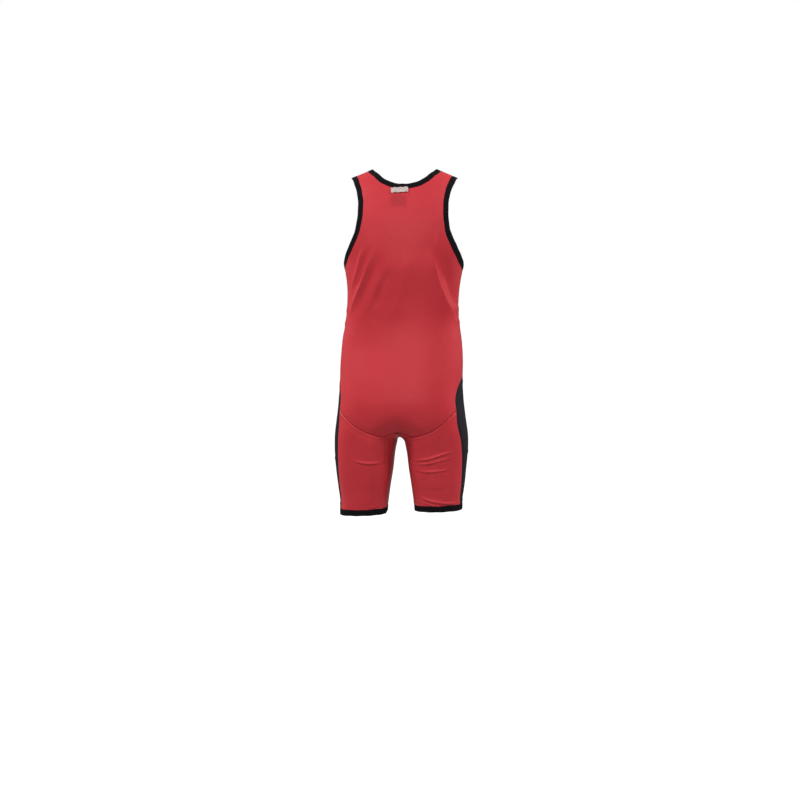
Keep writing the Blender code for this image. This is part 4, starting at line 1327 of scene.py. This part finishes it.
@dataclass(frozen=True)
class Stitch:
    """One visible stitch of thread: a short arched roll whose ends dip into the cloth."""

    length: float = 2.5
    pitch: float = 3.1
    thickness: float = 0.5
    arch: float = 0.22
    rings: int = 4
    sides: int = 5

    def template(self) -> tuple[Points, Points, Points]:
        """Points and faces of one stitch about its middle.

        Along the stitch the radius is the square root of a half sine, and the arch is that half sine.

        Returns:
            Points as (along, sideways, up), quads and end triangles.
        """
        t = np.linspace(0.12, 0.88, self.rings)
        turn = np.linspace(0.0, 2 * math.pi, self.sides, endpoint=False)
        radius = self.thickness / 2 * np.sqrt(np.sin(math.pi * t))
        along = (t - 0.5) * self.length
        rise = self.arch * np.sin(math.pi * t)
        rings = np.stack([np.broadcast_to(along[:, None], (self.rings, self.sides)),
                          radius[:, None] * np.cos(turn),
                          radius[:, None] * np.sin(turn) + rise[:, None]], axis=2).reshape(-1, 3)
        ends = np.array([[-self.length / 2, 0.0, -0.1], [self.length / 2, 0.0, -0.1]])
        side = np.arange(self.sides)
        beside = (side + 1) % self.sides
        quads = np.concatenate([np.stack([side + r * self.sides, beside + r * self.sides,
                                          beside + (r + 1) * self.sides, side + (r + 1) * self.sides], axis=1)
                                for r in range(self.rings - 1)])
        first, last = self.rings * self.sides, self.rings * self.sides + 1
        offset = (self.rings - 1) * self.sides
        start_fan = np.stack([beside, side, np.full(self.sides, first)], axis=1)
        end_fan = np.stack([side + offset, beside + offset, np.full(self.sides, last)], axis=1)
        return np.concatenate([rings, ends]), quads, np.concatenate([start_fan, end_fan])

    def row(self, track: Points, normals: Points) -> tuple[Points, Points, Points]:
        """Stitches in a row along a track.

        Args:
            track: Points of the track, at the height of the cloth's face.
            normals: Directions out of the cloth at those points.

        Returns:
            Points, quads and triangles of all stitches.
        """
        length = lengths_along(track)
        count = max(int(length[-1] / self.pitch), 1)
        middle = (np.arange(count) + 0.5) * length[-1] / count
        place = np.stack([np.interp(middle, length, track[:, axis]) for axis in range(3)], axis=1)
        travel = np.stack([np.interp(middle, length, part) for part in directions(track, False).T], axis=1)
        out = np.stack([np.interp(middle, length, part) for part in normals.T], axis=1)
        out = out / np.linalg.norm(out, axis=1, keepdims=True)
        sideways = np.cross(out, travel)
        shape, quads, triangles = self.template()
        points = (place[:, None] + shape[None, :, :1] * travel[:, None] + shape[None, :, 1:2] * sideways[:, None]
                  + shape[None, :, 2:] * out[:, None]).reshape(-1, 3)
        offset = (np.arange(count) * len(shape))[:, None, None]
        return points, (quads[None] + offset).reshape(-1, 4), (triangles[None] + offset).reshape(-1, 3)


def stitched(name: str, rows: list[tuple[Points, Points]], finish: ThreadFinish, figure: Figure,
             stitch: Stitch = Stitch()) -> bpy.types.Object:
    """One piece of all the stitches on some tracks.

    Args:
        name: Name of the piece.
        rows: Tracks, each with the normals at its points.
        finish: Thread.
        figure: Figure that gives the pose.
        stitch: Size of a stitch.

    Returns:
        The object.
    """
    points, quads, triangles, count = [], [], [], 0
    for track, normals in rows:
        row_points, row_quads, row_triangles = stitch.row(track, normals)
        points.append(row_points)
        quads.append(row_quads + count)
        triangles.append(row_triangles + count)
        count += len(row_points)
    quads, triangles = np.concatenate(quads), np.concatenate(triangles)
    shell = Shell(np.concatenate(points), quads, triangles, np.zeros((len(quads), 4, 2)),
                  np.zeros((len(triangles), 3, 2))).turned_out()
    return shell.piece(name, finished(finish), finish.slot, figure)


@dataclass
class Ribbon:
    """Band whose section is carried along a line on the figure."""

    rings: Points
    closed: bool

    def shell(self) -> Shell:
        """Closed faces over the rings, with a cap at each end where the band is open."""
        count, around = self.rings.shape[:2]
        ring = np.arange(count if self.closed else count - 1)
        side = np.arange(around)
        here, after = np.meshgrid(ring, side, indexing="ij")[0], ((ring + 1) % count)[:, None]
        beside = np.broadcast_to((side + 1) % around, here.shape)
        along = np.broadcast_to(after, here.shape)
        place = np.broadcast_to(side, here.shape)
        quads = np.stack([here * around + place, here * around + beside,
                          along * around + beside, along * around + place], axis=2).reshape(-1, 4)
        middle = self.rings.mean(axis=1)
        loop = np.concatenate([middle, middle[:1]]) if self.closed else middle
        travelled = lengths_along(loop)
        section = np.concatenate([self.rings[0], self.rings[0][:1]])
        round_section = lengths_along(section)
        uv = np.stack([np.stack([round_section[place + shift_side], travelled[here + shift_ring]], axis=2)
                       for shift_ring, shift_side in ((0, 0), (0, 1), (1, 1), (1, 0))], axis=2)
        triangles, triangle_uv = no_faces(3)
        vertices = self.rings.reshape(-1, 3)
        if not self.closed:
            ends = np.stack([self.rings[0].mean(axis=0), self.rings[-1].mean(axis=0)])
            first, last = len(vertices), len(vertices) + 1
            offset = (count - 1) * around
            next_side = (side + 1) % around
            start_cap = np.stack([next_side, side, np.full(around, first)], axis=1)
            end_cap = np.stack([side + offset, next_side + offset, np.full(around, last)], axis=1)
            vertices = np.concatenate([vertices, ends])
            triangles = np.concatenate([start_cap, end_cap])
            triangle_uv = np.zeros((len(triangles), 3, 2))
        return Shell(vertices, quads, triangles, uv.reshape(-1, 4, 2), triangle_uv).turned_out()


@dataclass(frozen=True)
class TapeSection:
    """Section of a folded tape: a flat roll, dimpled along its rows of stitches."""

    wall: float = 2.2
    squareness: float = 3.4
    points: int = 28
    overlap: float = 0.8
    row_shares: tuple[float, ...] = (0.30, 0.74)
    dimple_depth: float = 0.28
    dimple_half_width: float = 0.8
    ripple_height: float = 0.16
    ripple_pitch: float = 6.1

    def outline(self, width: float) -> tuple[Points, Points]:
        """Places across the tape and off the cloth, round a superellipse."""
        turn = np.linspace(0.0, 2 * math.pi, self.points, endpoint=False)
        power = 2 / self.squareness
        across = width / 2 * np.sign(np.cos(turn)) * np.abs(np.cos(turn)) ** power
        off = self.wall / 2 * np.sign(np.sin(turn)) * np.abs(np.sin(turn)) ** power
        return across, off


@dataclass
class Binding:
    """Folded tape sewn over a free edge, with two rows of stitches."""

    name: str
    node: str
    free_edge: Points
    inside_line: Points
    form: ClothForm
    section: TapeSection = TapeSection()

    def build(self) -> tuple[bpy.types.Object, list[tuple[Points, Points]]]:
        """Makes the tape.

        The section's outer half dips beside each row of stitches and ripples a little along the tape,
        more towards the inner row, as stretch tape does.

        Returns:
            The object, and the tracks of its stitches with their normals.
        """
        figure, section = self.form.figure, self.section
        middle = figure.onto((self.free_edge + self.inside_line) / 2)
        normals = figure.normals(middle)
        lift = self.form.height(middle)[:, None]
        across = self.inside_line - self.free_edge
        width = float(np.linalg.norm(across, axis=1).mean()) + section.overlap
        across = across / np.linalg.norm(across, axis=1, keepdims=True)
        middle = middle + across * section.overlap / 2 + normals * lift
        travelled = lengths_along(middle)[:, None]
        places, off = section.outline(width)
        rows = [-width / 2 + share * width for share in section.row_shares]
        outer = smooth_step(off / section.wall + 0.5)
        dimple = sum(np.exp(-((places - row) / section.dimple_half_width) ** 2) for row in rows)
        phase = 2 * math.pi * travelled / section.ripple_pitch + 1.9 * np.sin(travelled / 19)
        ripple = np.sin(phase) * (0.5 + 0.5 * places / (width / 2))
        height = off - outer * (section.dimple_depth * dimple) + outer * section.ripple_height * ripple
        edge = 0.25 * np.sin(2 * math.pi * travelled / 31 + 2.2 * np.sin(travelled / 57))
        rings = (middle[:, None] + across[:, None] * (places + edge)[..., None]
                 + normals[:, None] * height[..., None])
        shell = Ribbon(rings, closed=True).shell()
        piece = shell.piece(self.name, finished(BLACK_TAPE), BLACK_TAPE.slot, figure)
        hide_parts(self.node)
        closed = np.append(np.arange(len(middle)), 0)
        tracks = []
        for row in rows:
            top = section.wall / 2 * (1 - abs(2 * row / width) ** section.squareness) ** (1 / section.squareness)
            stitch_height = top - section.dimple_depth + 0.05
            track = middle + across * (row + edge) + normals * stitch_height
            tracks.append((track[closed], normals[closed]))
        return piece, tracks


@dataclass
class SeamTape:
    """Overlocked seam allowance on the inside of a seam."""

    line: Points
    form: ClothForm
    width: float = 5.5
    wall: float = 1.1
    depth: float = 1.0
    points: int = 12
    loop_pitch: float = 2.4
    loop_height: float = 0.14

    def shell(self) -> Shell:
        """Flat roll behind the seam, rippled by the loops of the overlocking."""
        figure = self.form.figure
        normals = figure.normals(self.line)
        travel = directions(self.line, closed=False)
        across = np.cross(normals, travel)
        lift = self.form.height(self.line)[:, None] - self.depth
        middle = self.line + normals * lift
        travelled = lengths_along(self.line)[:, None]
        turn = np.linspace(0.0, 2 * math.pi, self.points, endpoint=False)
        places = self.width / 2 * np.sign(np.cos(turn)) * np.abs(np.cos(turn)) ** 0.6
        off = self.wall / 2 * np.sign(np.sin(turn)) * np.abs(np.sin(turn)) ** 0.6
        loops = self.loop_height * np.sin(2 * math.pi * travelled / self.loop_pitch + places)
        height = off + np.where(off < 0, -1.0, 0.0) * loops
        rings = middle[:, None] + across[:, None] * (places + 0 * travelled)[..., None] \
            + normals[:, None] * height[..., None]
        return Ribbon(rings, closed=False).shell()


@dataclass
class Label:
    """Small blank label of woven tape on the back, outside or inside the cloth."""

    name: str
    node: str
    across: float
    height: float
    width: float
    drop: float
    turn: float
    lift: float
    form: ClothForm
    wall: float = 0.5
    crumple: float = 0.0
    columns: int = 56
    rows: int = 20

    def build(self) -> bpy.types.Object:
        """Makes the label as a band whose section is the label's outline from top to bottom.

        The crumple is a sum of two slanting waves, stronger to the lower edge, which also stands off
        the cloth, and the outline wavers a little.

        Returns:
            The object.
        """
        u, v = np.meshgrid(np.linspace(-0.5, 0.5, self.columns), np.linspace(0.5, -0.5, self.rows),
                           indexing="ij")
        turn = math.radians(self.turn)
        waver = self.crumple * 0.45
        along = u * self.width + waver * np.sin(v * 7 + 1.0) * np.abs(u) * 2
        down = v * self.drop + waver * np.sin(u * 19 + 0.6) * (0.4 + np.abs(v))
        places = np.stack([self.across + along * math.cos(turn) - down * math.sin(turn),
                           self.height + along * math.sin(turn) + down * math.cos(turn)], axis=2)
        points = self.form.figure.seen(View.BACK, places.reshape(-1, 2))
        normals = self.form.figure.normals(points)
        folds = (np.sin(u * 15 + v * 4.0) * 0.6 + np.sin(u * 31 - v * 6.0 + 1.3) * 0.4 + 1.0) / 2
        lower = (0.5 - v)
        stand = self.crumple * (folds * (0.5 + 0.8 * lower) + 0.9 * lower ** 2)
        lift = self.lift + stand.reshape(-1) + self.form.height(points)
        outside = (points + normals * (lift + self.wall)[:, None]).reshape(self.columns, self.rows, 3)
        inside = (points + normals * lift[:, None]).reshape(self.columns, self.rows, 3)
        rings = np.concatenate([outside, inside[:, ::-1]], axis=1)
        piece = Ribbon(rings, closed=False).shell().piece(self.name, finished(LABEL_TAPE), LABEL_TAPE.name,
                                                          self.form.figure)
        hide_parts(self.node)
        return piece


@dataclass
class Singlet:
    """The whole garment, piece by piece."""

    cut: Cut = Cut()
    fine_cut: Cut = Cut(detail=10)
    form: ClothForm = field(default_factory=ClothForm)
    legs: dict[Side, Leg] = field(default_factory=lambda: {Side.RIGHT: Leg(-729.5, -2.5),
                                                           Side.LEFT: Leg(-743.0, 5.0)})
    halves: dict[Side, HalfCut] = field(default_factory=dict)
    topstitch_away: float = 4.2
    label_place: tuple[float, float, float, float] = (-9.7, -69.0, 16.5, 12.3)

    def panels(self) -> None:
        """Makes the five kinds of panel."""
        for side, leg in self.legs.items():
            self.halves[side] = self.cut.half(leg)
        half = self.halves
        fine = {side: self.fine_cut.half(leg) for side, leg in self.legs.items()}
        backs = [side.turned(fine[side].back(self.fine_cut)) for side in self.legs]
        fronts = [side.turned(grid) for side in self.legs
                  for grid in (half[side].front(self.cut), half[side].leg_front(self.cut))]
        Panel("back_panel_cloth", "back_panel", RED_KNIT, backs,
              self.seams(("strap", False), ("side_seam", True), ("hip_back", False),
                         ("crotch_seam", False), ("seat_seam", False)),
              self.form, show_through=self.label_place).build()
        Panel("front_panel_cloth", "front_panel", RED_KNIT, fronts,
              self.seams(("strap", True), ("side_seam", False), ("hip_front", False),
                         ("outer_front", False), ("inseam", True), ("crotch_seam", True)),
              self.form).build()
        for side in self.legs:
            Panel("back_leg_cloth_" + side.label, "back_leg_" + side.label, RED_KNIT,
                  [side.turned(fine[side].leg_back(self.fine_cut))],
                  self.seams(("seat_seam", True), ("outer_back", False), ("inseam", False), sides=[side]),
                  self.form).build()
            Panel("side_panel_cloth_" + side.label, "side_panel_" + side.label, BLACK_KNIT,
                  [side.turned(half[side].side_panel(self.cut))],
                  self.seams(("hip_back", True), ("outer_back", True), ("hip_front", True),
                             ("outer_front", True), sides=[side]),
                  self.form).build()

    def seams(self, *named: tuple[str, bool], sides: list[Side] | None = None) -> list[SewnLine]:
        """Named seams of the cut on both sides, or on the given ones, with the allowance or not."""
        return [SewnLine(side.turned(getattr(self.halves[side], name)), allowance,
                         RELIEFS.get((name, allowance), SeamRelief()))
                for name, allowance in named for side in (sides or list(self.legs))]

    def bindings(self) -> None:
        """Makes the bindings of the neck, armholes and hems, with their stitches."""
        figure = self.form.figure
        neck = Binding("neck_binding_tape", "neck_binding", *self.fine_cut.neck_lines(), self.form)
        _, tracks = neck.build()
        stitched("neck_stitching", tracks, BLACK_THREAD, figure)
        armhole = self.fine_cut.armhole_lines()
        for side, leg in self.legs.items():
            for part, lines in (("armhole", armhole), ("hem", self.fine_cut.hem_lines(leg))):
                free_edge, inside_line = (side.turned(line) for line in lines)
                _, tracks = Binding(f"{part}_binding_tape_{side.label}", f"{part}_binding_{side.label}",
                                    free_edge, inside_line, self.form).build()
                stitched(f"{part}_stitching_{side.label}", tracks, BLACK_THREAD, figure)

    def topstitch(self, line: Points, towards: Place3) -> tuple[Points, Points]:
        """Track of the stitches that hold down a seam's allowance, and its normals.

        Args:
            line: The seam.
            towards: A point on the side of the seam that the allowance is on.

        Returns:
            Points on the cloth's face, and directions out of it.
        """
        figure = self.form.figure
        trimmed = line[2:-2]
        sideways = np.cross(figure.normals(trimmed), directions(trimmed, closed=False))
        middle = len(trimmed) // 2
        side = np.sign(np.sum(sideways[middle] * (np.array(towards) - trimmed[middle])))
        track = figure.onto(trimmed + sideways * side * self.topstitch_away, rounds=4)
        normals = figure.normals(track)
        relief = SeamRelief()
        height = self.form.height(track) + relief.allowance_height + 0.42
        return track + normals * height[:, None], normals

    def sewing(self) -> None:
        """Makes the stitches of the panels' seams."""
        figure = self.form.figure
        for side in self.legs:
            half, flip = self.halves[side], side.turned
            name = side.label

            def row(line: Points, towards: Place3) -> tuple[Points, Points]:
                return self.topstitch(flip(line), tuple(flip(np.array(towards, float))))

            seat = joined(half.crotch_seam, half.seat_seam)
            stitched("seat_stitching_" + name, [row(seat, (60, -80, -640))], RED_THREAD, figure)
            stitched("inseam_stitching_" + name, [row(half.inseam, (30, 0, -640))], RED_THREAD, figure)
            stitched("side_stitching_" + name, [row(half.side_seam, (100, -60, -320))], RED_THREAD, figure)
            stitched("shoulder_stitching_" + name, [row(half.strap, (90, 40, -30))], RED_THREAD, figure)
            back = joined(half.hip_back, half.outer_back)
            front = joined(half.hip_front, half.outer_front)
            stitched("side_panel_stitching_" + name, [row(back, (140, 0, -580)), row(front, (140, 0, -580))],
                     BLACK_THREAD, figure)

    def allowances(self) -> None:
        """Makes the overlocked allowances inside the seams."""
        for side in self.legs:
            half = self.halves[side]
            seams = {
                "shoulder": (half.strap, RED_THREAD),
                "side": (half.side_seam, RED_THREAD),
                "seat": (joined(half.crotch_seam, half.seat_seam), RED_THREAD),
                "inseam": (half.inseam, RED_THREAD),
                "side_panel_back": (joined(half.hip_back, half.outer_back), BLACK_THREAD),
                "side_panel_front": (joined(half.hip_front, half.outer_front), BLACK_THREAD),
            }
            for name, (line, finish) in seams.items():
                SeamTape(side.turned(line), self.form).shell().piece(
                    f"{name}_allowance_{side.label}", finished(finish), finish.slot, self.form.figure)

    def labels(self) -> None:
        """Makes the outer neck label and the inner label."""
        Label("neck_label_tape", "neck_label", -7.9, -46.3, 35.4, 10.9, 3.0, 1.15, self.form,
              crumple=1.2).build()
        Label("inner_label_tape", "inner_label", self.label_place[0], self.label_place[1],
              2 * self.label_place[2], 2 * self.label_place[3], 0.0, -1.3, self.form).build()


@dataclass(frozen=True)
class Lamp:
    """Soft square lamp."""

    name: str
    place: Place3
    target: Place3
    size: float
    power: float

    def build(self) -> None:
        """Puts the lamp in the scene, pointed at its target."""
        data = bpy.data.lights.new(self.name, "AREA")
        data.size = self.size
        data.energy = self.power
        lamp = bpy.data.objects.new(self.name, data)
        lamp.location = self.place
        lamp.rotation_euler = (Vector(self.target) - Vector(self.place)).to_track_quat("-Z", "Y").to_euler()
        bpy.context.scene.collection.objects.link(lamp)


@dataclass(frozen=True)
class Studio:
    """White studio with soft lamps and the camera, in metres."""

    floor_height: float = -1.225
    floor_half_width: float = 30.0
    world_strength: float = 0.13
    floor_glow: float = 1.0
    lamps: tuple[Lamp, ...] = (
        Lamp("left_lamp", (-2.4, -1.2, 1.65), (0.0, 0.0, -0.4), 0.6, 66.0),
        Lamp("right_lamp", (2.3, -1.2, 1.75), (0.0, 0.0, -0.4), 0.6, 54.0),
        Lamp("near_lamp", (0.0, -3.3, 0.85), (0.0, 0.0, -0.35), 2.4, 55.0),
        Lamp("left_rim_lamp", (-2.5, 1.2, 1.1), (0.0, 0.0, -0.35), 0.6, 52.0),
        Lamp("right_rim_lamp", (2.5, 1.2, 1.1), (0.0, 0.0, -0.35), 0.6, 56.0),
    )
    camera_distance: float = 4.0
    camera_azimuth: float = 3.8
    camera_height: float = -0.160
    target: Place3 = (-0.010, 0.0, -0.495)
    focal_length: float = 83.7

    def build(self) -> None:
        """Makes the floor, the white surround, the lamps and the camera."""
        self.floor()
        self.surround()
        for lamp in self.lamps:
            lamp.build()
        self.camera()

    def floor(self) -> None:
        """Pale floor far below the garment, where the wearer's feet would be."""
        half, height = self.floor_half_width, self.floor_height
        mesh = bpy.data.meshes.new("floor")
        mesh.from_pydata([(-half, -half, height), (half, -half, height), (half, half, height),
                          (-half, half, height)], [], [(0, 1, 2, 3)])
        graph = Graph("pale_floor")
        graph.link("Base Color", graph.blend(graph.noise(0.8, 3.0), (0.30, 0.30, 0.30), (0.33, 0.33, 0.33)))
        seen = graph.add("ShaderNodeLightPath", {}).outputs["Is Camera Ray"]
        graph.link("Emission Strength", graph.sum_of("MULTIPLY", seen, self.floor_glow))
        graph.constants({"Roughness": 0.7, "Emission Color": (1.0, 1.0, 1.0, 1.0)})
        mesh.materials.append(graph.material)
        floor = bpy.data.objects.new("floor", mesh)
        bpy.context.scene.collection.objects.link(floor)

    def surround(self) -> None:
        """White all round, which lights the garment less than it shows."""
        world = bpy.data.worlds.new("white_surround")
        world.use_nodes = True
        bpy.context.scene.world = world
        tree = world.node_tree
        background = tree.nodes["Background"]
        background.inputs["Color"].default_value = (1.0, 1.0, 1.0, 1.0)
        seen = tree.nodes.new("ShaderNodeLightPath").outputs["Is Camera Ray"]
        strength = tree.nodes.new("ShaderNodeMath")
        strength.operation = "MULTIPLY_ADD"
        tree.links.new(seen, strength.inputs[0])
        strength.inputs[1].default_value = 1.0 - self.world_strength
        strength.inputs[2].default_value = self.world_strength
        tree.links.new(strength.outputs[0], background.inputs["Strength"])
        bpy.context.scene.view_settings.view_transform = "Standard"

    def camera(self) -> None:
        """Camera behind the garment, a little to the right and above its middle."""
        turn = math.radians(self.camera_azimuth)
        target = Vector(self.target)
        place = Vector((target.x + self.camera_distance * math.sin(turn),
                        target.y - self.camera_distance * math.cos(turn), self.camera_height))
        data = bpy.data.cameras.new("camera")
        data.lens = self.focal_length
        camera = bpy.data.objects.new("camera", data)
        camera.location = place
        camera.rotation_euler = (target - place).to_track_quat("-Z", "Y").to_euler()
        bpy.context.scene.collection.objects.link(camera)
        bpy.context.scene.camera = camera


def main() -> None:
    """Builds the garment and the studio."""
    logging.basicConfig(level=logging.INFO, format="%(message)s")
    singlet = Singlet()
    for step in (singlet.panels, singlet.bindings, singlet.sewing, singlet.allowances, singlet.labels):
        step()
        log.info("%s done", step.__name__)
    Studio().build()


if __name__ == "__main__":
    main()
